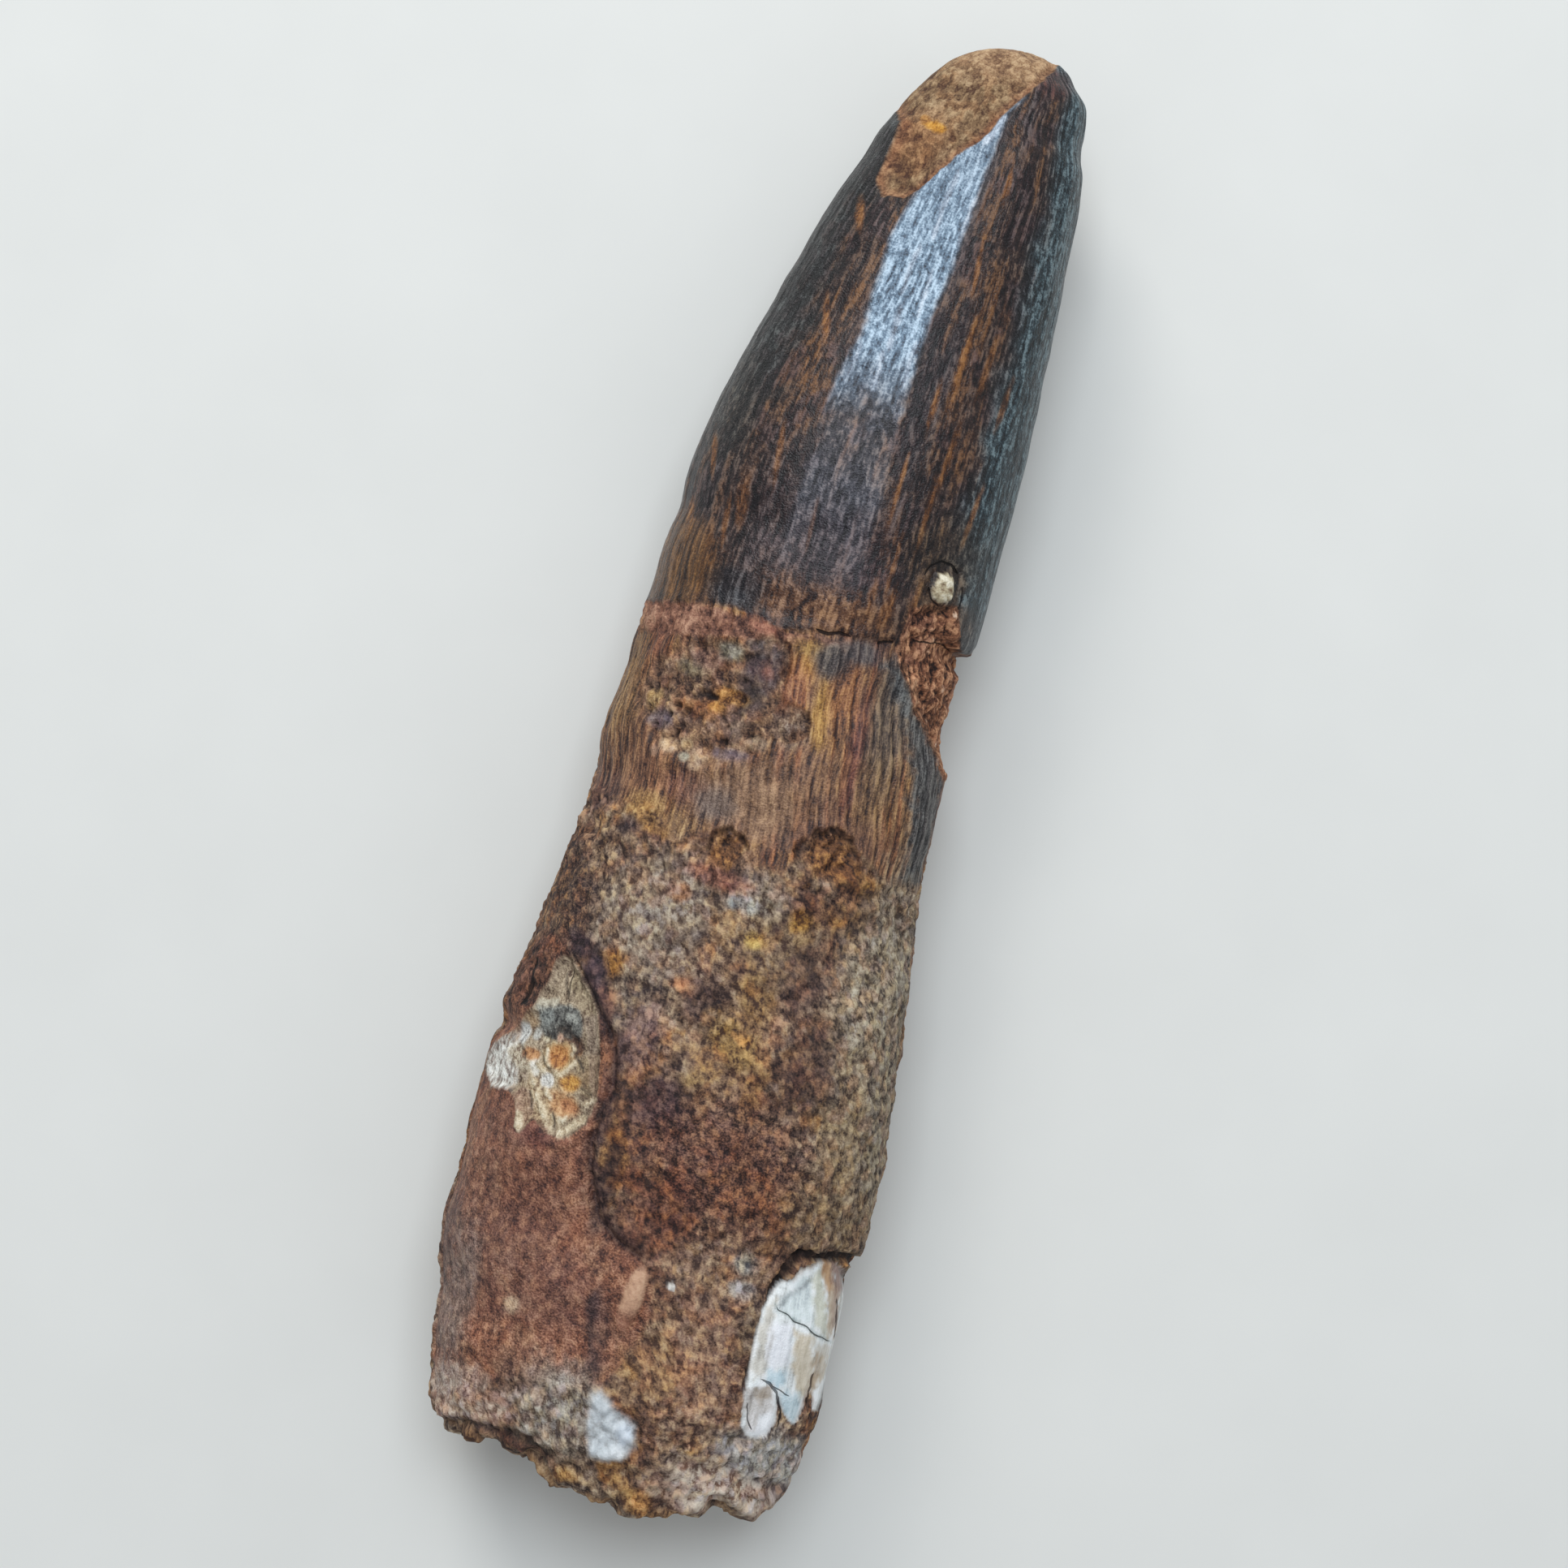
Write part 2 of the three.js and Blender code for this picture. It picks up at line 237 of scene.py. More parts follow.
# ------------------------------------------------------------------ plan-view measures
def poly_sd(points, X, Y):
    """Signed distance to a closed outline in mm, positive inside."""
    d = np.full(X.shape, 1e9)
    inside = np.zeros(X.shape, bool)
    for (ax, ay), (bx, by) in zip(np.roll(points, 1, 0), points):
        ex, ey = bx - ax, by - ay
        t = np.clip(((X - ax) * ex + (Y - ay) * ey) / (ex * ex + ey * ey + 1e-12), 0, 1)
        d = np.minimum(d, np.hypot(X - ax - t * ex, Y - ay - t * ey))
        cross = (ay > Y) != (by > Y)
        with np.errstate(divide="ignore", invalid="ignore"):
            inside ^= cross & (X < ax + (Y - ay) * ex / (by - ay if by != ay else 1e-12))
    return np.where(inside, d, -d)


def line_sd(points, X, Y):
    """Signed distance to an open line (positive on its left), and the share of its length at the nearest point."""
    best = np.full(X.shape, 1e9)
    sign = np.ones(X.shape)
    share = np.zeros(X.shape)
    seg = np.hypot(*np.diff(points, axis=0).T)
    run = np.concatenate([[0], np.cumsum(seg)])
    for k in range(len(points) - 1):
        (ax, ay), (bx, by) = points[k], points[k + 1]
        ex, ey = bx - ax, by - ay
        t = np.clip(((X - ax) * ex + (Y - ay) * ey) / (ex * ex + ey * ey + 1e-12), 0, 1)
        d = np.hypot(X - ax - t * ex, Y - ay - t * ey)
        near = d < best
        best = np.where(near, d, best)
        sign = np.where(near, np.sign(ex * (Y - ay) - ey * (X - ax)), sign)
        share = np.where(near, (run[k] + t * seg[k]) / run[-1], share)
    return best * np.where(sign == 0, 1, sign), share


def blob(px, py, rx, ry, turn, X, Y):
    """0 at a point's middle, 1 on the edge of an ellipse rx by ry mm turned by turn degrees."""
    cx, cy = pm(px, py)
    c, s = math.cos(math.radians(turn)), math.sin(math.radians(turn))
    dx, dy = X - cx, Y - cy
    return np.hypot((dx * c + dy * s) / rx, (-dx * s + dy * c) / ry)


# ------------------------------------------------------------------ grid of the surface
AROUND, BODY, CAP = 456, 560, 58            # columns round, rows of the body, rows of the broken end
PIECES = 3                                   # strips round the tooth, each a mesh of its own


def body_y(t):
    straight = 0.87
    return np.where(t < straight, ROOT_Y + (TIP_ROUND_Y - ROOT_Y) * t / straight,
                    TIP_ROUND_Y + (TIP_Y - TIP_ROUND_Y) * np.sin(np.pi / 2 * np.clip((t - straight) / (1 - straight), 0, 1)))


def angles():
    """Angles round the tooth from the middle of the underside, even on the surface and wider apart below."""
    a = np.linspace(-np.pi / 2, 1.5 * np.pi, 7201)
    x, z = wall(np.full(a.shape, -12.0), a)
    dense = 0.62 + 0.38 * step(-0.6, -0.05, np.sin((a[1:] + a[:-1]) / 2))
    run = np.concatenate([[0], np.cumsum(np.hypot(np.diff(x), np.diff(z)) * dense)])
    return np.interp(np.arange(AROUND) / AROUND * run[-1], run, a)


ANG = angles()
T = 1 - np.arange(BODY + 1) / BODY           # 1 at the tip, 0 at the broken edge
bx, bw, bmid, _, _, _ = section(np.array([ROOT_Y]))
BASE_X, BASE_Z = float(bx[0]), float(bmid[0])
rx0, rz0 = wall(np.full(AROUND, ROOT_Y), ANG)
# the broken edge, with chips of its own
edge_noise = fbm(np.stack([rx0 * 0.42, rz0 * 0.42, np.full(AROUND, 3.0)], 1), 3, 5)
RIM_Y = np.maximum(end_face(rx0, rz0, BASE_Z), -TIP_Y) + EDGE_ROUND + 0.35 * edge_noise

rows = []
for t in T:
    y0 = float(body_y(np.array(t)))
    y = y0 + (1 - step(0, 0.16, t)) * (RIM_Y - ROOT_Y)
    if t == 1:
        xc, _, mid, _, _, _ = section(np.array([TIP_Y]))
        rows.append(np.stack([np.full(AROUND, xc[0]), np.full(AROUND, TIP_Y), np.full(AROUND, mid[0])], 1))
        continue
    x, z = wall(y, ANG)
    rows.append(np.stack([x, y, np.maximum(z, 0)], 1))
wx, wz = wall(RIM_Y, ANG)
wz = np.maximum(wz, 0)
ln = np.hypot(wx - BASE_X, wz - BASE_Z)
EDGE_ROWS = 12
for k in range(1, CAP + 1):
    if k <= EDGE_ROWS:                       # the rounded edge
        turn = k / EDGE_ROWS * np.pi / 2
        q = 1 - EDGE_ROUND * (1 - np.cos(turn)) / ln
    else:
        turn = np.pi / 2
        q = (CAP - k) / (CAP - EDGE_ROWS) * (1 - EDGE_ROUND / ln)
    x, z = BASE_X + (wx - BASE_X) * q, BASE_Z + (wz - BASE_Z) * q
    face = np.maximum(end_face(x, z, BASE_Z), -TIP_Y)
    hollow = 0.7 * (1 - step(0.35, 0.62, q))
    y = face + (RIM_Y - face) * (1 - math.sin(turn)) if k <= EDGE_ROWS else face + hollow
    rows.append(np.stack([x, y, z], 1))
GRID = np.array(rows)                        # (rows, around, 3)
NR = GRID.shape[0]


def grid_normals(g):
    """Outward unit normals of the grid."""
    da = np.roll(g, -1, 1) - np.roll(g, 1, 1)
    dr = np.empty_like(g)
    dr[1:-1] = g[2:] - g[:-2]
    dr[0] = g[1] - g[0]
    dr[-1] = g[-1] - g[-2]
    n = np.cross(dr, da)
    l = np.linalg.norm(n, axis=2, keepdims=True)
    n = n / np.maximum(l, 1e-12)
    n[0] = (0, 1, 0)
    n[-1] = (0, -1, 0)
    return n


NORMAL = grid_normals(GRID)
if (NORMAL[BODY // 2, :, 2] * (GRID[BODY // 2, :, 2] - GRID[BODY // 2, :, 2].mean())).sum() < 0:
    NORMAL[1:-1] *= -1

P = GRID.reshape(-1, 3)
N = NORMAL.reshape(-1, 3)
ROW = np.repeat(np.arange(NR), AROUND)
AA = np.tile(ANG, NR)
H = SIL_Z + CAM_D
K = CAM_D / (H - P[:, 2])
X, Y = CAM_X + (P[:, 0] - CAM_X) * K, CAM_Y + (P[:, 1] - CAM_Y) * K   # seen position, in the outline's plane
TOP = step(-0.02, 0.22, N[:, 2])             # 1 where the camera above sees the surface
END = step(0.55, 0.85, -N[:, 1]) * (ROW > BODY - 6)   # 1 on the broken end
R0 = 11.0
CYL = np.stack([R0 * np.cos(AA), R0 * np.sin(AA), P[:, 1]], 1)        # seamless round the tooth, mm


def aniso(around, along, seed, octaves=3):
    """Noise stretched along the tooth; the two numbers are its sizes in mm."""
    q = CYL / np.array([around, around, along])
    return fbm(q, octaves, seed)


def iso(size, seed, octaves=3, gain=0.5):
    return fbm(P / size, octaves, seed, gain)


# ------------------------------------------------------------------ regions, positive inside, in mm
def hold(sd_top, sd_under):
    return sd_under + (sd_top - sd_under) * TOP


n_edge = iso(1.1, 11, 3)
n_mid = iso(3.2, 12, 3)
n_big = iso(9.0, 13, 3)
n_fine = iso(0.55, 14, 2)

ENAMEL_EDGE = pms([(700, 752), (796, 744), (830, 743), (868, 741), (914, 752), (968, 775), (1018, 779), (1044, 783),
                   (1098, 790), (1150, 800), (1199, 811), (1260, 815)])
SD_E = hold(line_sd(ENAMEL_EDGE, X, Y)[0],
            P[:, 1] - (10.2 - 1.3 * -np.cos(AA) + 0.9 * np.sin(2 * AA) + 0.6 * np.sin(3 * AA + 1))) + 0.34 * n_edge + 0.22 * n_fine

CRUST_EDGE = pms([(690, 975), (728, 958), (760, 985), (800, 990), (835, 1030), (870, 1022), (905, 1030), (930, 1062),
                  (965, 1078), (985, 1052), (1006, 1026), (1045, 1024), (1068, 1052), (1095, 1085), (1128, 1092), (1190, 1090)])
SD_C = hold(-line_sd(CRUST_EDGE, X, Y)[0], -4.6 - P[:, 1] + 1.6 * np.sin(AA * 2 + 1.3) + 2.2 * n_big) + 0.55 * n_edge + 0.5 * n_mid

GROUND = pms([(618, 1235), (660, 1215), (700, 1179), (719, 1214), (750, 1268), (754, 1335), (734, 1379), (728, 1446),
              (737, 1500), (759, 1527), (790, 1549), (806, 1600), (790, 1650), (750, 1700), (700, 1712), (640, 1690),
              (560, 1712), (480, 1710), (480, 1400), (540, 1240)])
SD_G = hold(poly_sd(GROUND, X, Y), -4 + 5.5 * iso(14, 21, 2) - 0.3 * np.abs(P[:, 1] + 34)) + 0.35 * n_edge

SPALL = pms([(1079, 222), (1086, 240), (1112, 243), (1132, 233), (1175, 193), (1212, 167), (1242, 135), (1275, 107),
             (1299, 86), (1320, 50), (1232, 20), (1140, 50), (1100, 125), (1110, 150), (1097, 180)])
SPALL_SIDE = step(-0.75, -0.5, N[:, 2])
SD_S = np.where(SPALL_SIDE > 0.5, poly_sd(SPALL, X, Y), -3) + 0.18 * n_edge

GRIT = pms([(1122, 752), (1150, 742), (1178, 748), (1181, 790), (1184, 812), (1190, 818), (1210, 830), (1200, 860),
            (1190, 900), (1178, 960), (1163, 962), (1143, 902), (1126, 878), (1120, 848), (1107, 817), (1110, 785)])
SD_R = np.where(N[:, 2] > -0.45, poly_sd(GRIT, X, Y), -3) + 0.16 * n_edge

NUB = blob(1161, 724, 0.80, 1.12, -12, X, Y) + 0.45 * n_edge + 0.28 * n_fine
NUB_UP = np.clip(0.45 + 0.6 * (((Y - pm(1161, 724)[1]) * 0.8 - (X - pm(1161, 724)[0]) * 0.6) / 1.5), 0, 1)
SD_N = np.where(TOP > 0.5, (1 - NUB) * 0.95, -5)

LEAF = pms([(697, 1177), (705, 1180), (713, 1193), (721, 1211), (730, 1229), (736, 1247), (738, 1272), (738, 1302), (737, 1332),
            (735, 1354), (728, 1372), (722, 1385), (702, 1401), (688, 1404), (669, 1396), (663, 1386), (654, 1376), (645, 1388),
            (637, 1396), (631, 1388), (634, 1368), (632, 1354), (624, 1342), (603, 1339), (597, 1320), (600, 1298), (609, 1283),
            (619, 1271), (630, 1261), (645, 1248), (657, 1240), (661, 1228), (664, 1220), (673, 1212), (679, 1199), (687, 1186)])
SD_L = np.where(N[:, 2] > -0.2, poly_sd(LEAF, X, Y), -5) + 0.07 * n_edge

INLAY = pms([(960, 1581), (976, 1576), (985, 1563), (998, 1560), (1012, 1556), (1030, 1556), (1044, 1566), (1045, 1585),
             (1042, 1610), (1037, 1640), (1029, 1665), (1022, 1692), (1014, 1722), (1007, 1738), (1001, 1738), (1002, 1718),
             (997, 1716), (989, 1736), (979, 1755), (972, 1752), (965, 1738), (961, 1722), (958, 1738), (956, 1752), (945, 1768),
             (930, 1773), (919, 1770), (913, 1758), (915, 1735), (921, 1700), (926, 1670), (932, 1640), (939, 1612), (949, 1596)])
SD_I = np.where(N[:, 2] > -0.6, poly_sd(INLAY, X, Y), -5) + 0.05 * n_edge
SD_I = np.minimum(SD_I, P[:, 2] - (5.6 + 2.4 * ((P[:, 1] + 40.9) / 4.4) ** 2 + 0.7 * n_edge + 0.9 * n_mid))

SEAM = pms([(740, 764), (796, 760), (850, 763), (905, 771), (960, 784), (1010, 792), (1060, 796)])
sd, share = line_sd(SEAM, X, Y)
seam_half = 1.20 - 0.85 * step(0.25, 0.9, share)
SD_B = hold(seam_half - np.abs(sd), 0.75 - np.abs(SD_E + 1.0) + 0.3 * n_mid) + 0.2 * n_edge
SD_B = np.minimum(SD_B, np.where(TOP > 0.5, (0.97 - share) * 8, 1))

PIT = np.minimum(np.minimum(blob(876, 864, 5.4, 4.7, 16, X, Y), blob(972, 892, 1.7, 1.4, 20, X, Y)), blob(938, 826, 2.0, 2.9, -18, X, Y))
SD_P = (1 - PIT) * 4.2 * np.where(TOP > 0.4, 1, -1) + 0.5 * n_edge + 0.3 * n_mid
SD_P = np.where(TOP > 0.4, SD_P, -3)

GROOVE = pms([(705, 1172), (719, 1206), (736, 1238), (750, 1268), (756, 1300), (754, 1335), (736, 1375), (728, 1410),
              (727, 1446), (737, 1500), (759, 1527), (790, 1549), (812, 1566)])
sd_gr, share_gr = line_sd(GROOVE, X, Y)
GROOVE_W = TOP * step(0, 0.06, share_gr) * (1 - step(0.9, 1.0, share_gr))

LOBE = pms([(500, 1748), (530, 1750), (560, 1757), (588, 1757), (615, 1764), (650, 1778), (690, 1804)])
sd_lb, share_lb = line_sd(LOBE, X, Y)
LOBE_W = np.where(N[:, 2] > -0.1, 1, 0) * step(0.12, 0.3, share_lb) * (1 - step(0.85, 1.0, share_lb))

# thin dark lines: cracks and gaps, each (points, half width mm, depth mm)
CRACKS = [
    ([(1004, 775), (1020, 781), (1034, 780), (1049, 785)], 0.15, 0.30),
    ([(1080, 793), (1089, 791), (1101, 792)], 0.11, 0.25),
    ([(1137, 710), (1146, 699), (1160, 692), (1174, 697), (1181, 709)], 0.09, 0.20),
    ([(1183, 722), (1184, 738), (1178, 752)], 0.06, 0.12),
    ([(1145, 722), (1147, 738), (1158, 748)], 0.06, 0.10),
    ([(955, 1606), (959, 1615), (969, 1619), (980, 1629), (991, 1633), (1004, 1644), (1014, 1649), (1026, 1655)], 0.04, 0.03),
    ([(935, 1699), (950, 1705), (958, 1716), (962, 1730), (963, 1747), (957, 1762)], 0.10, 0.16),
    ([(950, 1706), (962, 1714), (974, 1722)], 0.04, 0.05),
    ([(1031, 1598), (1031, 1625), (1028, 1652)], 0.06, 0.08),
    ([(1003, 1690), (1000, 1710), (994, 1732)], 0.10, 0.14),
    ([(922, 1728), (921, 1748), (927, 1763)], 0.05, 0.06),
    ([(1184, 812), (1170, 800), (1150, 796), (1125, 793)], 0.06, 0.10),
    ([(666, 1178), (656, 1205), (648, 1226), (640, 1240)], 0.13, 0.30),
    ([(702, 1184), (701, 1200), (698, 1216), (695, 1234)], 0.035, 0.05),
]


def spread(points, gap=0.15):
    """Points at even gaps along a line."""
    seg = np.hypot(*np.diff(points, axis=0).T)
    run = np.concatenate([[0], np.cumsum(seg)])
    t = np.linspace(0, run[-1], max(2, int(run[-1] / gap)))
    return np.stack([np.interp(t, run, points[:, 0]), np.interp(t, run, points[:, 1])], 1)


# Each channel holds cracks that lie well apart: the signed distance to the nearest one and its half width there.
CHANNELS = 6
CH_D = np.full((CHANNELS, len(P)), 3.0)
CH_W = np.zeros((CHANNELS, len(P)))
CH_LINES = [[] for _ in range(CHANNELS)]
CRACK_D = np.zeros(len(P))
for pts, half, deep in CRACKS:
    line = pms(pts)
    dense_line = spread(line)
    ch = next(c for c in range(CHANNELS) if all(
        np.hypot(*(dense_line[:, None] - other[None]).transpose(2, 0, 1)).min() > 1.9 for other in CH_LINES[c]))
    CH_LINES[ch].append(dense_line)
    d, sh = line_sd(line, X, Y)
    d = d + 0.09 * n_edge + 0.05 * n_fine
    ends = step(0, 0.14, sh) * (1 - step(0.86, 1, sh)) * (0.75 + 0.5 * np.clip(n_edge, -1, 1))
    near = np.abs(d) < np.abs(CH_D[ch])
    CH_D[ch] = np.where(near, d, CH_D[ch])
    CH_W[ch] = np.where(near, half * ends * (1 - step(0.5, 0.9, np.abs(d))) * TOP, CH_W[ch])
    CRACK_D = np.maximum(CRACK_D, deep * np.exp(-(np.abs(d) / (half * 1.6 + 0.10)) ** 2) * ends * TOP)

E = step(-0.15, 0.15, SD_E) * (1 - step(-0.1, 0.1, SD_R)) * (1 - step(-0.1, 0.1, SD_S)) * (1 - END)
C = step(-0.3, 0.5, SD_C) * (1 - END)
G = step(-0.3, 0.3, SD_G) * (1 - END)
S = step(-0.1, 0.1, SD_S)
R = step(-0.1, 0.1, SD_R) * (1 - S)
L = step(-0.06, 0.06, SD_L)
I = step(-0.05, 0.05, SD_I)
B = step(-0.15, 0.25, SD_B) * (1 - R)
PT = step(-0.3, 0.6, SD_P)
C = C * (1 - G)
W = np.clip(1 - E - C - G - S - R - END, 0, 1)   # the bare striated dentine

# ------------------------------------------------------------------ brushes, seen from above
def dab(px, py, rx, ry, turn=0, ragged=0.35, soft=0.35, on=None):
    """A ragged patch: its middle in frame pixels, its half sizes in mm."""
    r = blob(px, py, rx, ry, turn, X, Y) + ragged * (0.6 * n_edge + 0.4 * n_fine)
    return (1 - step(1 - soft, 1 + soft, r)) * (TOP if on is None else on)


def stroke(points, half, ragged=0.3, soft=0.07, taper=0.12, on=None):
    """A ragged line of half width half mm through frame pixels, narrower towards its ends."""
    d, sh = line_sd(pms(points), X, Y)
    ends = step(0, taper, sh) * (1 - step(1 - taper, 1, sh))
    wide = half * (0.35 + 0.65 * ends) * (1 + ragged * 2.0 * n_fine)
    return (1 - step(wide - soft, wide + soft, np.abs(d))) * (TOP if on is None else on) * (ends > 0)


def patch(points, soft=0.10, ragged=0.10, on=None):
    """A ragged area within an outline of frame pixels."""
    return step(-soft, soft, poly_sd(pms(points), X, Y) + ragged * n_edge + 0.6 * ragged * n_fine) * (TOP if on is None else on)


# ------------------------------------------------------------------ texture fields
BEND = np.array([8.0, 30.0, 8.0])
TURNED = AA - 0.0115 * np.clip(P[:, 1] - 10, -20, 3)
CW = np.stack([R0 * np.cos(TURNED), R0 * np.sin(TURNED), P[:, 1]], 1)
CW += np.stack([fbm(P / BEND, 2, 81), fbm(P / BEND, 2, 82), fbm(P / 9.0, 2, 83)], 1) * (0.50, 0.50, 2.5)
CW += np.stack([gnoise(P / 1.1, 84), gnoise(P / 1.1, 85), gnoise(P / 2.0, 86)], 1) * (0.055, 0.055, 0.5)


def along(around, length, seed, octaves=1):
    """Noise in gently waving lines that run along the tooth."""
    return fbm(CW / (around, around, length), octaves, seed)


def even(v, k=1.5):
    """Brings a field to the range -1 to 1."""
    v = v - v.mean()
    return np.clip(v / (k * v.std()), -1, 1)


a1, a2, awho = cells(P / 0.46, 41)           # sand grains
b1, b2, bwho = cells(P / 0.95, 42)           # coarser grains
gap = 1 - step(0.04, 0.24, a2 - a1)          # 1 between the grains
dome = np.sqrt(np.clip(1 - (a1 / 0.72) ** 2, 0, 1))
bdome = np.sqrt(np.clip(1 - (b1 / 0.75) ** 2, 0, 1))
bgap = 1 - step(0.03, 0.16, b2 - b1)
awho2 = (awho * 97.13) % 1
i17, i08, i05 = even(iso(1.7, 101, 2)), even(iso(0.8, 102, 2)), even(iso(0.42, 103, 1))
i35, i70 = even(iso(3.5, 104, 2)), even(iso(7.0, 105, 2))
groove_a = np.abs(along(0.95, 26, 111))
groove_b = np.abs(along(0.55, 18, 112))
groove_c = np.abs(along(2.1, 30, 113, 2))
_a = np.linspace(-np.pi / 2, 1.5 * np.pi, 7201)
_x, _z = wall(np.full(_a.shape, 0.0), _a)
_run = np.concatenate([[0], np.cumsum(np.hypot(np.diff(_x), np.diff(_z)))])
RIDGES = round(_run[-1] / 0.82)              # even ridges round the dentine, 0.82 mm apart
ridge_ph = np.interp((TURNED + np.pi / 2) % (2 * np.pi) - np.pi / 2, _a, _run / _run[-1]) * RIDGES * 2 * np.pi
ridge = np.sin(ridge_ph + 2.2 * fbm(P / (3.5, 14.0, 3.5), 2, 161)) * step(-0.8, 0.5, even(iso(2.4, 162, 2)))
broken = step(-0.6, 0.3, even(iso(1.5, 163, 2)))
line_a, line_b, line_c = (1 - step(0.02, 0.16, groove_a)) * (0.3 + 0.7 * broken), (1 - step(0.02, 0.17, groove_b)) * broken, 1 - step(0.02, 0.14, groove_c)
fib_a, fib_b = even(along(0.62, 9, 114, 2)), even(along(1.6, 16, 115, 2))
fine_l = even(along(0.30, 3.0, 116))
wr_a, wr_b = even(along(0.27, 0.9, 117, 2)), even(along(0.42, 4.5, 118, 2))
wr_c, wr_d = even(along(1.2, 12, 119, 2)), even(along(3.2, 24, 120, 2))

f45, f26 = even(along(0.46, 9.0, 151, 2)), even(along(0.27, 3.6, 152, 2))
c1, c2, cwho = cells(P / 0.70, 43)           # small pits and pale specks
pin = step(0.52, 0.62, cwho) * (1 - step(0.15, 0.34, c1))
fleck_up = (1 - step(0.10, 0.16, cwho)) * (1 - step(0.14, 0.30, c1))
d1, d2, dwho = cells(P / 0.29, 44)           # the finest grains
dgap = 1 - step(0.05, 0.26, d2 - d1)
lump = even(iso(1.25, 105, 2))
crevice = 1 - step(0.03, 0.22, np.abs(fbm(P / 1.5, 2, 106)))

# ------------------------------------------------------------------ relief, mm along the normal
D = np.zeros(len(P))
# the crown's flat facet
FACET_L = pms([(1150, 205), (1132, 232), (1099, 285), (1079, 352), (1062, 411), (1033, 461), (1009, 518), (985, 600)])
FACET_R = pms([(1262, 120), (1242, 139), (1218, 206), (1192, 272), (1165, 352), (1142, 401), (1116, 491), (1090, 600)])


def across(points):
    o = np.argsort(points[:, 1])
    return np.interp(Y, points[o, 1], points[o, 0])


xl, xr = across(FACET_L), across(FACET_R)
xc, w, mid, up, _, p = section(np.clip(P[:, 1], ROOT_Y, 54.9))


def roof(x):
    c = np.clip(np.abs((x - xc) / w), 0, 0.999)
    return mid + up * (1 - c ** (2 / p)) ** (p / 2)


f = np.clip((X - xl) / np.maximum(xr - xl, 0.5), 0, 1)
chord = roof(xl) * (1 - f) + roof(xr) * f
live = step(20, 27, P[:, 1]) * (1 - step(47.5, 50.5, P[:, 1])) * TOP
facet = np.where((X > xl) & (X < xr), 1, 0) * live
D += facet * (chord - roof(X)) * 0.9
D += E * (0.055 * even(along(1.25, 18, 31, 2)) * 0.5 + 0.05 * wr_d * 0.5 + 0.014 * wr_b + 0.008 * wr_a + 0.012 * i17)
D += 0.02 * E + 0.09 * E * (1 - step(0.0, 1.2, SD_E)) * TOP
# bare dentine: long ridges with narrow grooves
D += W * (0.045 * ridge - 0.06 * line_a - 0.04 * line_b - 0.05 * line_c + 0.04 * fib_b + 0.022 * f45 + 0.012 * f26 + 0.05 * i35 + 0.03 * i17)
# crust: lumps, pits and sand grains
pits = step(0.62, 0.95, bwho) * (1 - step(0.2, 0.6, b1))
D += C * (0.06 + 0.13 * i70 + 0.10 * i35 + 0.075 * i17 + 0.05 * i08 + 0.115 * (dome - 0.6) * (0.5 + awho)
          + 0.05 * (bdome - 0.6) * bwho - 0.13 * pits - 0.09 * pin + 0.05 * fleck_up)
D += G * (-0.12 + 0.08 * i70 + 0.035 * i35 + 0.022 * i17 + 0.018 * even(along(0.9, 8, 48)) + 0.022 * (dome - 0.6) * (0.4 + awho)
          - 0.05 * pits - 0.03 * pin)
D += C * TOP * step(-0.2, 0.6, SD_C) * (1 - step(2.0, 4.5, SD_C)) * (0.14 * lump + 0.08 * i08 - 0.10 * crevice)
LOWER = 1 - step(-50, -43, P[:, 1])
D += (C + G) * LOWER * (0.07 * i17 + 0.05 * i08) * (1 - I)
# chipped tip
face_up = 0.12 + 0.88 * np.clip(N[:, 2], 0, 1)
D += S * (-0.34 - 0.62 * (1 - np.exp(-np.maximum(SD_S, 0) / 1.6)) + 0.14 * i17 + 0.08 * i08 + 0.07 * (dome - 0.6) * (0.4 + awho)) * face_up
# gritty hollow and the notch on the right outline
D += R * (-0.55 * step(0, 0.7, SD_R) + 0.13 * i08 + 0.12 * i17 + 0.15 * (dome - 0.6) - 0.12 * pin)
right = np.where((np.cos(AA) > 0.55), 1, 0) * step(-0.75, -0.3, N[:, 2])
notch = np.where(P[:, 1] > 10.75, np.exp(-((P[:, 1] - 10.75) / 0.30) ** 2), np.exp(-((P[:, 1] - 10.75) / 0.62) ** 2))
D += -0.95 * notch * right * step(0.6, 0.92, N[:, 0]) + 0.28 * np.exp(-((P[:, 1] - 9.3) / 0.5) ** 2) * right * step(0.75, 0.95, N[:, 0])
# cream nub in its ring
D += np.where(SD_N > -0.05, 0.42 * np.sqrt(np.clip(1 - NUB ** 2, 0, 1)) + 0.04 * i08, 0)
D -= 0.20 * np.exp(-((NUB - 1.35) / 0.24) ** 2) * TOP * NUB_UP
# reddish band
D += B * (0.05 + 0.08 * i08 + 0.06 * i17 + 0.05 * (dome - 0.6) + 0.07 * lump)
# pitted patch
pit_dark = 1 - step(0.6, 1.15, blob(925, 838, 2.4, 3.1, -25, X, Y) + 0.3 * n_edge)
PITS_AT = [(798, 845, 0.22), (807, 844, 0.2), (816, 845, 0.22), (832, 855, 0.24), (820, 861, 0.28), (833, 867, 0.24), (844, 874, 0.2),
           (855, 858, 0.26), (863, 854, 0.30), (871, 851, 0.30), (880, 857, 0.24), (895, 845, 0.2), (916, 860, 0.26), (824, 878, 0.22),
           (890, 882, 0.2), (893, 912, 0.20), (831, 902, 0.2), (905, 878, 0.2), (900, 918, 0.18), (862, 885, 0.16), (805, 889, 0.2),
           (890, 808, 0.22), (918, 838, 0.25), (912, 880, 0.2), (925, 905, 0.2)]
pit_dots = np.zeros(len(P))
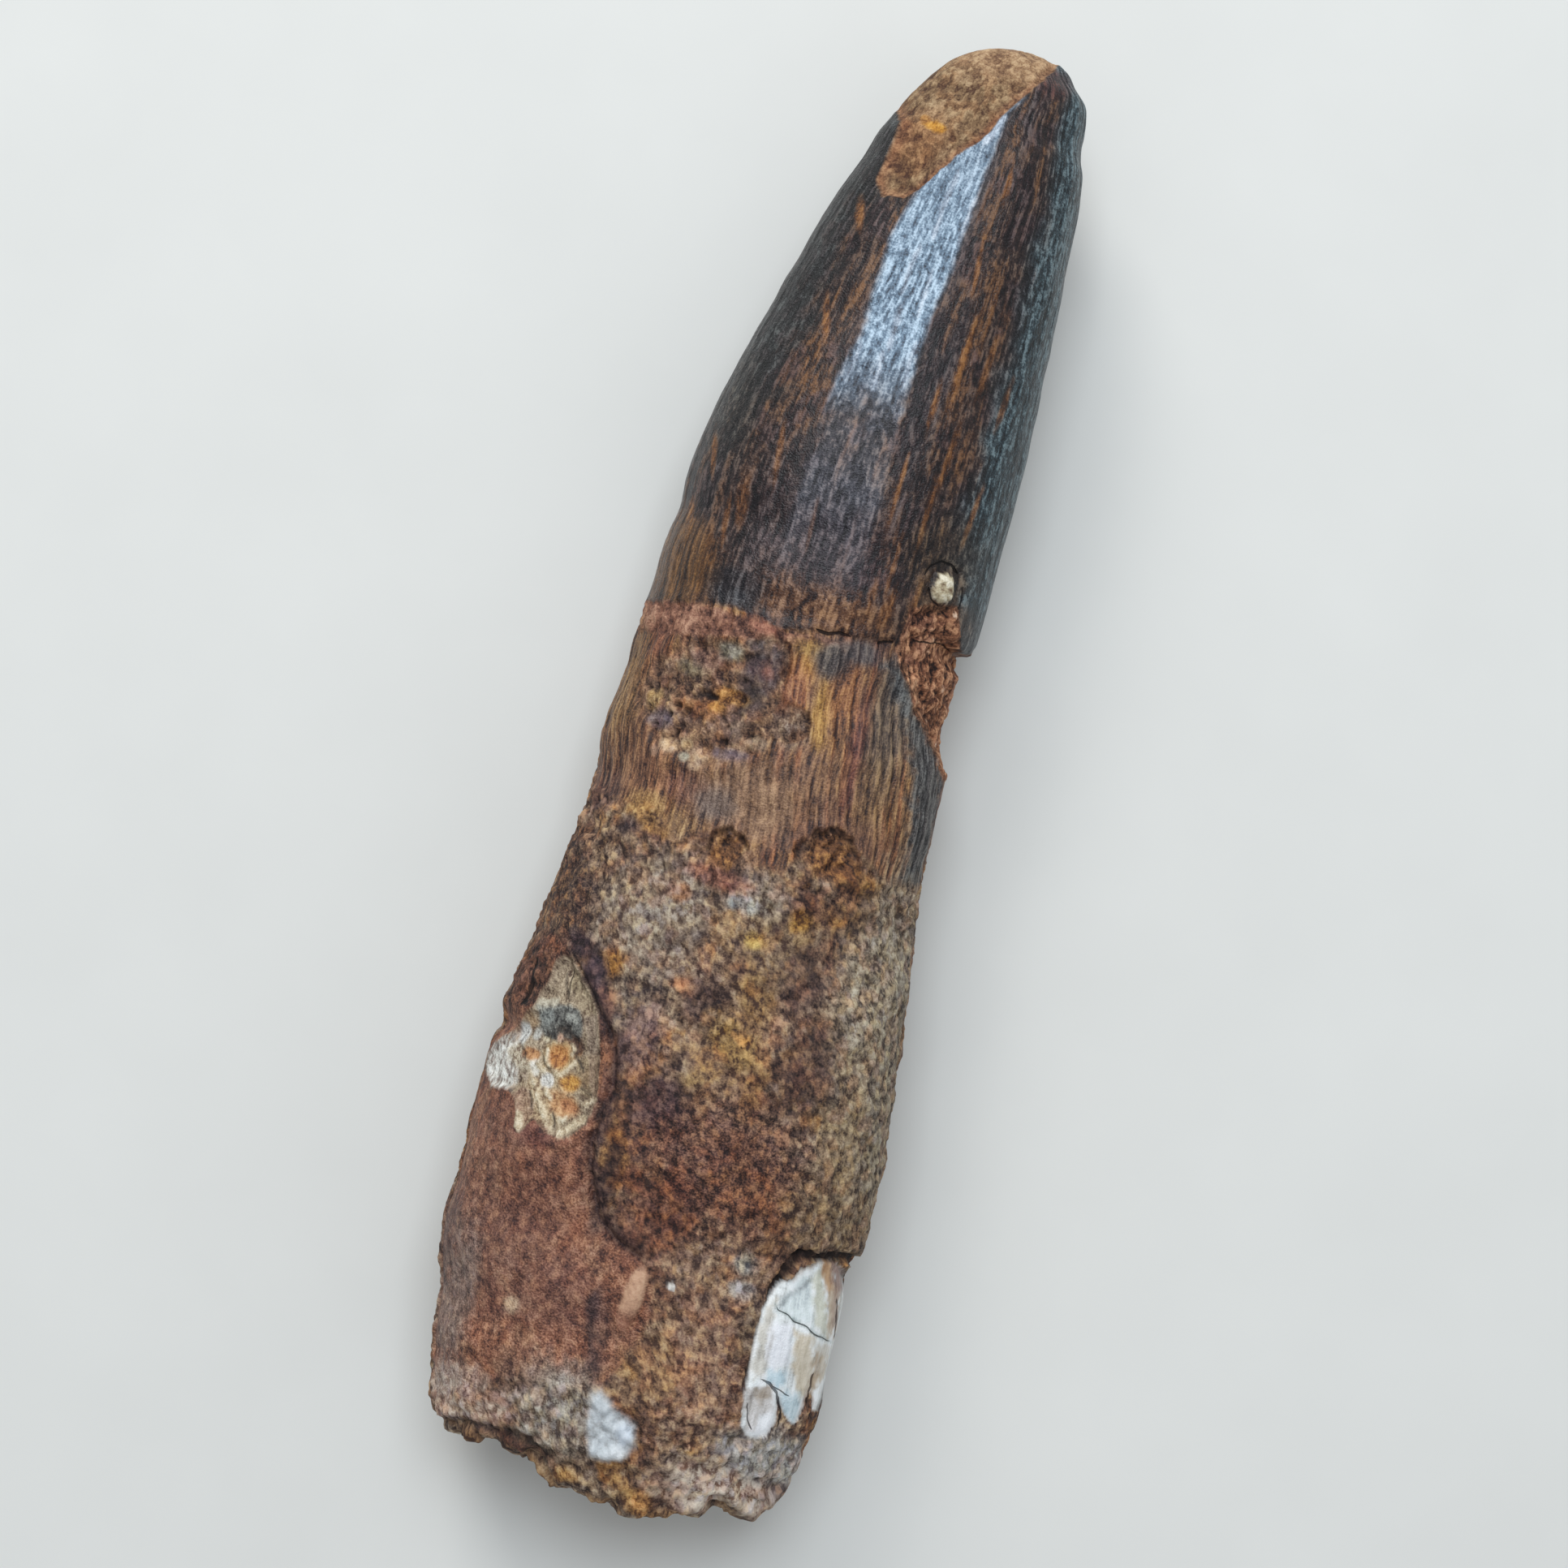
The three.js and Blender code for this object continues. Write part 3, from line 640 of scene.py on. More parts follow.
for px_, py_, r_ in PITS_AT:
    pit_dots = np.maximum(pit_dots, (1 - step(0.45, 1.15, blob(px_, py_, r_ * 1.25, r_, 10, X, Y) + 0.5 * n_edge)) * TOP)
pit_line = np.maximum(stroke([(850, 858), (865, 853), (882, 858)], 0.16), stroke([(888, 880), (894, 889), (901, 898)], 0.11))
pit_dots = np.maximum(pit_dots, pit_line)
D += 0.10 * np.exp(-((SD_P + 0.35) / 0.4) ** 2) * TOP * (1 - E)
D += PT * (-0.20 + 0.12 * lump + 0.09 * i08 + 0.04 * i05 - 0.16 * pit_dark + 0.06 * (dome - 0.6) - 0.08 * crevice) - 0.30 * pit_dots
# the two arched pits
arch = np.zeros(len(P))
for cx, cy, r, deep in ((896, 1046, 1.45, 0.42), (1020, 1056, 2.1, 0.38)):
    q = blob(cx, cy, r, r, 0, X, Y) + 0.12 * n_edge
    arch = np.maximum(arch, (1 - step(0.6, 1.0, q)) * TOP)
    D -= deep * (1 - step(0.35, 1.0, q)) * TOP
    D += 0.16 * np.exp(-((q - 1.12) / 0.22) ** 2) * TOP
D += arch * (0.09 * (bdome - 0.5) + 0.06 * i08)
# a ragged groove along each arch's upper edge, painted dark further on as its shadow
ARCH_EDGE_SHADE = np.maximum(stroke([(978, 1066), (983, 1044), (1002, 1029), (1024, 1026), (1044, 1035), (1057, 1060)], 0.26, 0.9, 0.16, 0.25),
                  stroke([(871, 1048), (881, 1028), (897, 1022), (914, 1032), (922, 1050)], 0.20, 0.9, 0.14, 0.25))
D -= 0.36 * ARCH_EDGE_SHADE
# leaf-shaped break: a sunken floor, a raised rim on its right, open cells
leaf_floor = step(0.0, 0.45, SD_L)
D -= 0.34 * leaf_floor
D += 0.20 * np.exp(-((SD_L + 0.42) / 0.33) ** 2) * step(-2.2, 0.5, X - pm(690, 1290)[0]) * TOP
D += L * (0.05 * i08 + 0.03 * i05)
STRUTS = [([(691, 1322), (698, 1314), (706, 1306)], 0.16), ([(655, 1345), (660, 1358), (666, 1372), (669, 1386)], 0.20),
          ([(636, 1368), (636, 1380), (634, 1394)], 0.22), ([(684, 1398), (698, 1390), (710, 1382), (722, 1377)], 0.33),
          ([(712, 1361), (724, 1358), (735, 1353)], 0.17), ([(664, 1338), (670, 1346), (674, 1354)], 0.16),
          ([(655, 1306), (662, 1314), (668, 1320)], 0.18), ([(646, 1318), (652, 1330), (655, 1342)], 0.12),
          ([(698, 1284), (704, 1292), (700, 1300)], 0.10), ([(671, 1288), (668, 1300), (672, 1314)], 0.14),
          ([(674, 1316), (684, 1322), (692, 1322)], 0.14), ([(683, 1377), (690, 1380), (697, 1377)], 0.16)]
struts = np.zeros(len(P))
for pts, half in STRUTS:
    struts = np.maximum(struts, stroke(pts, half) * (L > 0.2))
HOLLOWS = [(683, 1302, 0.75, 0.72, 0), (697, 1334, 0.62, 0.75, 20), (691, 1361, 0.95, 0.75, -20), (651, 1295, 0.55, 0.42, 0),
           (672, 1329, 0.5, 0.5, 0), (669, 1272, 0.4, 0.5, 0), (706, 1287, 0.7, 0.6, 0)]
hollows = np.zeros(len(P))
for h_ in HOLLOWS:
    hollows = np.maximum(hollows, dab(*h_, ragged=0.2, soft=0.3))
D += L * (0.12 * struts - 0.14 * hollows)
# groove beside the ground
D -= 0.48 * np.exp(-(sd_gr / (0.30 + 0.12 * n_mid)) ** 2) * GROOVE_W * (1 - L)
D += 0.16 * np.exp(-((sd_gr - 0.9) / 0.6) ** 2) * GROOVE_W * (1 - L)
# pale fragment: a smooth proud surface with a hollow lower left corner
D = D * (1 - I) + I * (0.02 + 0.03 * i70 + 0.02 * fib_b + 0.012 * fib_a)
D -= 0.10 * I * (1 - step(0, 0.5, SD_I))
D -= 0.20 * I * (1 - step(0.5, 1.2, blob(936, 1735, 0.9, 1.7, 12, X, Y)))
# the deep gap above and to the left of it
gap_top_shadow = stroke([(946, 1604), (954, 1588), (965, 1571), (975, 1556), (986, 1546), (1000, 1547), (1012, 1551), (1030, 1550), (1050, 1550), (1058, 1566)],
                 0.34, 0.2, 0.10, 0.10, np.where(N[:, 2] > -0.1, 1, 0)) * (1 - I)
gap_left_shadow = stroke([(956, 1588), (943, 1608), (934, 1640), (926, 1676), (919, 1702), (913, 1724)], 0.15, 0.2, 0.07) * (1 - I)
D -= 0.45 * gap_top_shadow + 0.20 * gap_left_shadow
# grey-white plate, tan nub, specks
PLATE = pms([(728, 1716), (741, 1712), (760, 1738), (782, 1758), (782, 1786), (766, 1798), (742, 1796), (726, 1790), (722, 1750)])
SD_W = np.where(TOP > 0.5, poly_sd(PLATE, X, Y), -5) + 0.13 * n_edge
D += 0.16 * step(-0.1, 0.2, SD_W)
TAN = blob(778, 1602, 0.80, 2.6, -4, X, Y)
D += 0.42 * np.sqrt(np.clip(1 - TAN ** 2, 0, 1)) * TOP
SPECK = blob(827, 1585, 0.31, 0.30, 0, X, Y)
D += 0.18 * np.sqrt(np.clip(1 - SPECK ** 2, 0, 1)) * TOP
# lobe on the lower left corner
D -= 0.55 * np.exp(-(sd_lb / 0.42) ** 2) * LOBE_W
# steps in the outline above the leaf and above the fragment
left_side = step(0.5, 0.9, -N[:, 0])
D += -0.45 * np.exp(-((Y - pm(615, 1258)[1]) / 0.8) ** 2) * left_side + 0.25 * np.exp(-((Y - pm(628, 1232)[1]) / 0.6) ** 2) * left_side
right_side = step(0.5, 0.9, N[:, 0])
D += -0.40 * np.exp(-((Y - pm(1052, 1575)[1]) / 0.9) ** 2) * right_side * step(-0.5, 0, N[:, 2]) + 0.18 * np.exp(-((Y - pm(1062, 1540)[1]) / 0.6) ** 2) * right_side
# broken end: a rough ring of dentine round a sandy fill
qx, qz = (P[:, 0] - BASE_X) / 9.2, (P[:, 2] - BASE_Z) / 5.6
CORE = np.hypot(qx + 0.10 * n_big, qz) + 0.24 * n_mid + 0.10 * n_edge + 0.12 * np.sin(3 * np.arctan2(qz, qx) + 0.8)
SD_F = (1 - CORE) * 5.0                      # the fill, positive inside
FILL = END * step(-0.3, 0.3, SD_F)
D += END * (0.16 * i35 + 0.12 * i17 + 0.09 * i08 - 0.35 * step(-0.3, 0.3, SD_F) - 0.35 * np.exp(-(SD_F / 0.35) ** 2))
D += FILL * (0.16 * (dome - 0.6) + 0.16 * (bdome - 0.6) + 0.05 * i08) + (END - FILL) * 0.05 * (dome - 0.6)
for x0, z0, r0, h0 in ((-8.6, 15.0, 1.0, 0.7), (-3.0, 16.2, 1.1, 0.7), (1.2, 17.0, 0.9, 0.4), (-10.8, 12.5, 1.1, 0.5),
                       (6.0, 16.5, 1.0, 0.5), (9.5, 14.0, 1.3, 0.5), (3.6, 4.2, 1.2, 0.5), (-5.2, 3.6, 1.0, 0.5)):
    q = np.hypot((P[:, 0] - x0) / r0, (P[:, 2] - z0) / (0.8 * r0)) + 0.5 * n_edge + 0.2 * n_fine
    D += END * h0 * np.sqrt(np.clip(1 - q * q, 0, 1))
rim = step(0.2, 0.6, -N[:, 1]) * step(-0.5, 0.1, N[:, 2])
D += rim * (0.75 * np.exp(-((P[:, 0] - 12.4) / 1.7) ** 2) - 0.75 * np.exp(-((P[:, 0] + 3.9) / 0.9) ** 2)
            - 0.65 * np.exp(-((P[:, 0] - 9.7) / 0.8) ** 2) - 0.45 * np.exp(-((P[:, 0] - 2.6) / 0.8) ** 2) + 0.16 * lump)
# the crown's right flank, a fifth of a millimetre fuller
D += 0.85 * step(0.35, 0.85, N[:, 0]) * np.interp(
    P[:, 1], [5, 9, 14, 30, 36, 40], [0, 0.12, 0.22, 0.20, 0.10, 0])
D -= CRACK_D
D[ROW <= 1] = D[ROW == 2].mean()
D[ROW == NR - 1] = D[ROW == NR - 2].mean()

Q = P + N * D[:, None]
# the relief stays inside the CAD model's box: beyond 0.25 mm within its faces it flattens out
LO, HI = np.array(CAD_BOX[0]) * 1000, np.array(CAD_BOX[1]) * 1000
for ax in (0, 1, 2):
    over = np.maximum(Q[:, ax] - (HI[ax] - 0.25), 0)
    Q[:, ax] += 0.25 * (1 - np.exp(-over / 0.25)) - over
    if ax < 2:
        over = np.maximum((LO[ax] + 0.25) - Q[:, ax], 0)
        Q[:, ax] -= 0.25 * (1 - np.exp(-over / 0.25)) - over
Q[:, 2] = np.maximum(Q[:, 2], 0)
# the strip it lies on is worn flat
Q[:, 2] = np.where((P[:, 2] <= 0.02) & (N[:, 2] < -0.5), 0, Q[:, 2])

# ------------------------------------------------------------------ colour, painted by region from named tones
def lin(r, g, b):
    c = np.array([r, g, b], float) / 255
    return np.where(c <= 0.04045, c / 12.92, ((c + 0.055) / 1.055) ** 2.4)


TONE = np.zeros((len(P), 3))      # the ground colour
LITE = np.zeros((len(P), 3))      # where the texture is lightest
DARK = np.zeros((len(P), 3))      # and darkest
TEX = np.zeros(len(P))            # the texture, -1 dark to 1 light
KS = np.zeros(len(P))             # how much fine striation the material adds
KG = np.zeros(len(P))             # how much fine speckle it adds
ROUGH = np.zeros(len(P))


def lay(mask, tone=None, lite=None, dark=None, tex=None, ks=None, kg=None, rough=None):
    """Paints over what is there, by a mask of 0 to 1."""
    for arr, c in ((TONE, tone), (LITE, lite), (DARK, dark)):
        if c is not None:
            arr[:] = arr + (lin(*c) - arr) * mask[:, None]
    for arr, v in ((TEX, tex), (KS, ks), (KG, kg), (ROUGH, rough)):
        if v is not None:
            arr[:] = arr + (v - arr) * mask


def tint(mask, r, g, b):
    """Multiplies the colours there."""
    m = np.array([r, g, b], float)
    for arr in (TONE, LITE, DARK):
        arr *= 1 + (m - 1) * mask[:, None]


full = np.ones(len(P))
n22, n50, n11 = even(iso(2.2, 74, 3)), even(iso(5.0, 75, 3)), even(iso(1.1, 76, 3))
n22b, n30b = even(iso(2.0, 78, 3)), even(iso(3.0, 79, 3))

# textures, -1 dark to 1 light
grain = np.clip(0.62 * (awho - 0.5) * 2 + 0.30 * (bwho - 0.5) * 2 + 0.34 * i08 + 0.25 * i05 + 0.16 * (dome - 0.6) - 0.52 * gap - 0.22 * bgap
                + 0.24 - 0.4 * pits - 0.70 * pin + 0.7 * fleck_up, -1.3, 1.2)
wood = np.clip(0.18 + 0.40 * ridge + 0.26 * f45 + 0.30 * f26 + 0.12 * fine_l + 0.10 * fib_b + 0.20 * (dwho - 0.5) * 2 - 0.40 * line_a - 0.26 * line_b - 0.30 * line_c
               - 0.5 * pin, -1.2, 1.15)
plain = np.clip(0.4 * wood + 0.30 * i08 + 0.22 * (awho - 0.5) * 2 + 0.2 * i17 - 0.25 * gap + 0.05, -1, 1)
skin = np.clip(0.30 * n11 + 0.14 * even(along(0.7, 4, 121)) + 0.36 * (awho - 0.5) * 2 + 0.26 * (dwho - 0.5) * 2 + 0.22 * i05 + 0.22 * i08
               - 0.32 * gap + 0.14 - 0.3 * pits - 0.5 * pin + 0.4 * fleck_up, -1.2, 1.1)
glaze = np.clip(0.66 * wr_a + 0.42 * wr_b + 0.28 * wr_c + 0.30 * i05 + 0.40 * (dwho - 0.5) * 2 - 0.04 - 0.4 * pin, -1.25, 1.25)
rubble = np.clip(0.55 * (awho - 0.5) * 2 + 0.36 * (dwho - 0.5) * 2 + 0.35 * (dome - 0.55) + 0.30 * i08 - 0.42 * gap - 0.12 * dgap + 0.26 * i17
                 + 0.14 - 0.8 * pin + 0.7 * fleck_up, -1.25, 1.2)
clump = np.clip(0.46 * lump + 0.30 * (awho - 0.5) * 2 + 0.34 * i08 + 0.30 * i05 + 0.30 * (dwho - 0.5) * 2 - 0.40 * crevice - 0.25 * gap
                - 0.25 * dgap + 0.24 - 0.6 * pin, -1.25, 1.15)
band_t = np.clip(0.44 * i08 + 0.36 * i17 + 0.34 * (awho - 0.5) * 2 + 0.30 * (dwho - 0.5) * 2 - 0.30 * gap - 0.35 * crevice + 0.20, -1.1, 1.1)
sandy = np.clip(0.48 * (awho - 0.5) * 2 + 0.30 * i08 + 0.36 * i17 + 0.24 * i05 - 0.42 * gap + 0.10, -1.1, 1.1)

# crust, everywhere first
lay(full, (126, 102, 82), (186, 162, 132), (50, 34, 30), grain, 0.0, 1.0, 0.80)
lay(step(0.0, 0.8, n50), (108, 78, 62), (164, 126, 92), (42, 28, 26))
lay(step(0.1, 0.8, n22) * 0.5, (144, 124, 104), (196, 180, 154), (64, 50, 42))
lay(step(0.1, 0.8, n22b) * 0.55, (86, 58, 48), (142, 97, 70), (36, 24, 24))
lay(step(0.45, 0.85, n30b) * 0.62, (150, 104, 54), (196, 150, 82), (78, 50, 34))
# bare dentine, striated
lay(W, (118, 83, 57), (178, 138, 96), (46, 29, 26), wood, 1.8, 1.0, 0.50)
lay(W * step(0.0, 0.8, wr_d) * 0.6, (98, 66, 50), (152, 108, 72), (42, 26, 25))
lay(W * step(0.0, 0.7, even(iso(2.6, 164, 3))) * 0.55, (92, 62, 54), (144, 108, 86), (36, 24, 27))
lay(W * step(0.1, 0.9, -wr_d) * 0.4, (136, 102, 70), (188, 150, 104), (62, 42, 33))
tint(W * step(0.15, 0.75, even(along(0.50, 13, 153))) * 0.8, 1.08, 0.80, 0.76)
tint(W * step(0.35, 0.80, even(along(0.62, 11, 154))) * 0.55, 1.10, 1.02, 0.72)
tint(W * step(0.40, 0.85, even(along(0.45, 12, 155))) * 0.7, 0.78, 0.76, 0.84)
# ground
lay(G, (135, 88, 67), (187, 140, 112), (62, 35, 30), skin, 0.2, 1.2, 0.60)
lay(G * step(0.0, 0.8, n50) * 0.8, (110, 64, 46), (160, 106, 78), (50, 27, 25))
lay(G * step(0.1, 0.9, -n22) * 0.6, (142, 104, 80), (190, 152, 122), (78, 48, 40))
# enamel
lay(E, (50, 36, 34), (108, 88, 76), (17, 11, 14), glaze, 1.0, 0.9, 0.33)
lay(E * step(-0.1, 0.8, wr_c) * 0.7, (58, 38, 29), (116, 80, 50), (24, 15, 15))
lay(E * step(-0.1, 0.6, even(iso(1.8, 134, 3))) * step(-0.4, 0.5, wr_c) * 0.4, (74, 46, 28), (132, 88, 46), (30, 19, 16))
lay(E * step(0.1, 0.8, even(iso(2.6, 135, 3))) * 0.5, (34, 24, 31), (80, 66, 76), (13, 9, 13))
lay(E * step(0.0, 0.8, -wr_d) * 0.8, (40, 30, 34), (90, 80, 80), (15, 11, 15))
streaks = step(0.40, 0.85, even(along(0.32, 4.2, 131))) * step(-0.35, 0.55, wr_c) * step(-0.7, 0.4, even(iso(4.5, 132)))
lay(E * streaks * 0.34, (112, 70, 38), (150, 102, 56), (60, 36, 24))

# ---- crown, seen from above
cross = np.clip((X - xc) / np.maximum(w, 0.5), -1.2, 1.2)
flank = step(-0.62, 0.05, N[:, 2] + 0.14 * n_mid)
# painted reflection: a teal-grey sheen on the enamel's flanks, over darker enamel on the left
reflection_band_l = step(0.60, 0.80, -cross + 0.20 * n_mid) * step(14, 27, P[:, 1] + 2 * n_mid) * flank * E
reflection_band_r = step(0.62, 0.80, cross + 0.12 * n_mid) * step(9, 14, P[:, 1]) * flank * E
lay(reflection_band_l * 0.85, (21, 19, 22), (68, 66, 68), (6, 6, 8), glaze - 0.22, ks=0.6, kg=1.8)
lay(reflection_band_l * step(0.1, 0.6, even(iso(1.1, 136, 2))) * 0.55, (44, 47, 48), (94, 100, 98), (14, 14, 16))
lay(reflection_band_r * 0.95, (46, 62, 69), (112, 132, 138), (16, 23, 27), ks=0.4, kg=1.4)
lay(E * (1 - flank) * step(-0.1, 0.8, n50) * 0.6, (62, 52, 46), (114, 96, 80), (28, 23, 24))
# painted reflection of the window: a bluish-white sheen over the crown's flat facet, fading in and out along the tooth
sheen_strip = step(-0.30, 0.34, X - xl + 0.22 * n_edge + 0.14 * n_fine) * step(-0.30, 0.34, xr - X + 0.22 * n_edge + 0.14 * n_fine) * TOP
sheen_strip *= np.interp(P[:, 1] + 1.6 * n_mid + 0.9 * n_edge, [12.5, 15, 18.5, 21, 24.5, 27.0, 28.8, 31, 40, 44, 47.5, 50.3, 52],
                   [0, 0.16, 0.30, 0.14, 0.07, 0.46, 0.80, 0.95, 0.93, 0.86, 0.80, 0.80, 0])
lay(sheen_strip, (112, 135, 156), (194, 216, 234), (44, 51, 64), (0.72 - 0.24 * step(36, 44, P[:, 1])) * glaze + 0.16, 0.8, 1.1, 0.28)
for a_ in [(1185, 450, 0.26, 3.2, -1), (1215, 455, 0.22, 2.2, -2), (1241, 232, 0.20, 1.6, 2), (1060, 262, 0.30, 1.2, 12),
           (1019, 392, 0.26, 1.6, 14), (1170, 560, 0.24, 2.8, -3), (1140, 640, 0.22, 3.0, 0), (1100, 700, 0.2, 2.4, 0),
           (1052, 755, 0.30, 1.5, 0), (915, 620, 0.4, 2.0, 6), (870, 690, 0.4, 2.2, 4), (996, 745, 0.28, 1.3, -4),
           (1205, 330, 0.18, 2.0, 4), (1150, 505, 0.2, 1.8, 0), (1235, 500, 0.2, 1.8, -4), (1108, 600, 0.16, 2.6, 0),
           (960, 560, 0.2, 2.2, 6), (1000, 650, 0.16, 1.8, 3), (955, 728, 0.30, 1.3, -4), (1094, 752, 0.32, 1.7, -4), (1073, 740, 0.2, 1.6, 0),
           (1195, 640, 0.18, 2.2, -4), (940, 735, 0.18, 0.8, 0), (1130, 735, 0.2, 1.6, 0), (1085, 760, 0.2, 1.2, 0),
           (1012, 752, 0.16, 0.8, 0), (895, 640, 0.2, 1.8, 6), (850, 640, 0.25, 1.6, 8), (880, 560, 0.2, 1.6, 12)]:
    lay(dab(*a_, ragged=0.7, soft=0.5) * E * 0.75, (124, 76, 34), (162, 110, 56), (66, 38, 24))
lay(dab(1030, 690, 4.6, 5.0, 0, 0.3, 0.5) * E * 0.5, (50, 32, 36), (98, 78, 78), (22, 14, 19))
lay(dab(1012, 752, 5.6, 1.5, -4, 0.8, 0.7) * E * 0.8, (112, 76, 54), (172, 130, 94), (40, 25, 23))
lay(dab(1205, 490, 1.8, 5.0, -6, 0.5, 0.6) * E * 0.35, (32, 22, 24), (84, 64, 58), (10, 7, 9))
lay(dab(905, 722, 2.3, 1.4, 0) * E * 0.8, (36, 38, 44), (86, 90, 94), (13, 13, 18), kg=1.1)
lay(dab(836, 690, 2.6, 3.4, 8) * E * 0.85, (94, 64, 38), (150, 108, 64), (40, 26, 20), tex=wood)
lay(dab(900, 470, 1.8, 5.0, 20, 0.4, 0.6) * E * 0.5, (54, 48, 44), (108, 100, 88), (20, 18, 19), kg=1.1)
lay(dab(975, 640, 5.0, 5.5, 0, 0.4, 0.6) * E * 0.4, (50, 38, 40), (106, 92, 94), (20, 14, 18), kg=1.0)
lay(dab(1160, 690, 2.6, 3.2, 0, 0.4, 0.5) * E * 0.7, (58, 46, 38), (112, 90, 66), (24, 18, 17), kg=1.0)
lay(dab(1165, 765, 2.0, 1.6, 0, 0.4, 0.5) * E * 0.8, (66, 48, 36), (124, 94, 66), (26, 17, 15), kg=1.0)
lay(dab(1300, 105, 1.3, 1.0, 0, 0.3, 0.5) * E * 0.8, (52, 32, 34), (98, 62, 58), (26, 14, 18))
# painted highlight: bright bluish-white lines along the facet, where the surface is also smoother
for a_ in [([(1240, 141), (1228, 158), (1212, 178)], 0.22), ([(1182, 208), (1170, 236), (1158, 266), (1149, 296)], 0.17),
           ([(1203, 240), (1192, 268), (1180, 305)], 0.12), ([(1135, 300), (1122, 330), (1110, 362)], 0.16),
           ([(1150, 330), (1140, 362), (1130, 392)], 0.12), ([(1112, 372), (1104, 400), (1094, 432)], 0.20),
           ([(1090, 430), (1082, 458), (1074, 482)], 0.18), ([(1062, 420), (1052, 446), (1040, 470)], 0.10),
           ([(1130, 420), (1120, 450), (1112, 480)], 0.13)]:
    lay(stroke(*a_, 0.6, 0.16) * E * 0.65, (166, 178, 194), (222, 228, 236), (90, 98, 112), rough=0.27)

# ---- reddish band, gritty hollow, pitted patch
lay(B, (130, 89, 71), (184, 140, 114), (58, 33, 28), band_t, 0.1, 1.1, 0.70)
lay(B * step(0.0, 0.8, n22) * 0.35, (152, 108, 88), (196, 158, 132), (86, 54, 44))
lay(B * step(0.2, 0.9, -n22b) * 0.5, (112, 68, 52), (158, 108, 82), (52, 29, 26))
lay(dab(940, 772, 1.4, 0.5, -20) * 0.3, (138, 72, 60), (172, 102, 84), (78, 38, 36))
lay(R, (132, 86, 61), (206, 154, 116), (34, 18, 16), np.clip(1.15 * rubble + 0.05, -1.25, 1.25), 0.0, 1.1, 0.85)
lay(R * step(0.2, 0.9, n11) * 0.8, (104, 64, 48), (176, 122, 90), (30, 18, 18))
lay(R * step(0.2, 0.8, -n22) * 0.6, (132, 88, 70), (188, 142, 116), (46, 27, 24))
lay(R * fleck_up * 0.9, (214, 180, 152), (232, 210, 190), (140, 100, 78))
lay(R * stroke([(1118, 815), (1128, 848), (1136, 878), (1150, 915), (1162, 945)], 0.30, 0.9, 0.2) * 0.6, (168, 124, 92), (206, 166, 132), (92, 62, 46))
lay(PT, (120, 91, 72), (184, 151, 119), (44, 29, 26), 0.86 * clump, 0.0, 1.1, 0.78)
lay(PT * step(0.0, 0.8, n11) * 0.6, (136, 108, 84), (198, 168, 130), (56, 38, 34))
for px_, py_, rx_, ry_, turn_, st_, to_, li_, da_ in [
    (938, 830, 1.5, 2.3, -15, 0.9, (74, 60, 64), (116, 100, 98), (34, 26, 32)),
    (925, 862, 1.0, 1.2, 0, 0.85, (78, 66, 62), (122, 108, 98), (36, 28, 30)),
    (945, 830, 0.5, 0.45, 0, 0.8, (132, 96, 92), (164, 128, 122), (80, 54, 54)),
    (900, 803, 1.1, 0.7, 0, 0.8, (112, 108, 94), (170, 166, 148), (54, 50, 46)),
    (850, 820, 1.0, 0.7, 0, 0.7, (128, 118, 94), (168, 160, 134), (70, 58, 48)),
    (868, 812, 1.4, 0.7, 0, 0.6, (130, 96, 86), (166, 132, 120), (74, 50, 46)),
    (900, 857, 1.3, 0.55, 0, 0.9, (166, 126, 70), (208, 170, 108), (84, 56, 34)),
    (804, 860, 0.5, 0.9, 0, 0.85, (158, 128, 84), (206, 182, 138), (74, 54, 40)),
    (858, 872, 1.7, 0.65, 0, 0.85, (152, 108, 74), (194, 146, 104), (82, 54, 40)),
    (882, 870, 0.8, 0.5, 0, 0.9, (172, 122, 62), (206, 160, 96), (96, 62, 38)),
    (812, 885, 0.9, 0.8, 0, 0.7, (98, 88, 96), (138, 130, 136), (50, 42, 46)),
    (822, 917, 0.65, 0.5, 0, 0.95, (206, 178, 146), (228, 208, 184), (140, 110, 92)),
    (806, 925, 0.35, 0.35, 0, 0.9, (190, 160, 136), (214, 190, 168), (130, 100, 86)),
    (845, 917, 0.45, 0.35, 0, 0.9, (204, 176, 138), (226, 206, 172), (136, 106, 80)),
    (864, 927, 0.6, 0.5, 0, 0.95, (208, 176, 140), (230, 206, 172), (138, 106, 84)),
    (842, 932, 0.4, 0.3, 0, 0.85, (184, 180, 160), (208, 204, 190), (120, 110, 96)),
    (855, 942, 0.5, 0.5, 0, 0.8, (184, 154, 122), (210, 184, 150), (120, 92, 74)),
    (900, 930, 1.5, 0.45, 8, 0.8, (120, 106, 112), (152, 138, 142), (74, 60, 66)),
    (900, 890, 1.2, 1.0, 0, 0.6, (116, 100, 92), (152, 136, 126), (62, 50, 46)),
    (930, 915, 0.8, 0.6, 0, 0.7, (126, 112, 96), (158, 144, 126), (72, 60, 52)),
    (940, 800, 1.2, 0.6, 0, 0.6, (124, 116, 112), (166, 158, 152), (64, 56, 56))]:
    lay(dab(px_, py_, rx_, ry_, turn_, 0.4, 0.4) * st_, to_, li_, da_)
lay(PT * dab(976, 893, 1.3, 1.1, 20, 0.5, 0.5) * 0.7, (118, 97, 82), (178, 163, 142), (46, 34, 31))
lay(pit_dots * 0.9, (36, 24, 22), (64, 44, 38), (18, 11, 11))
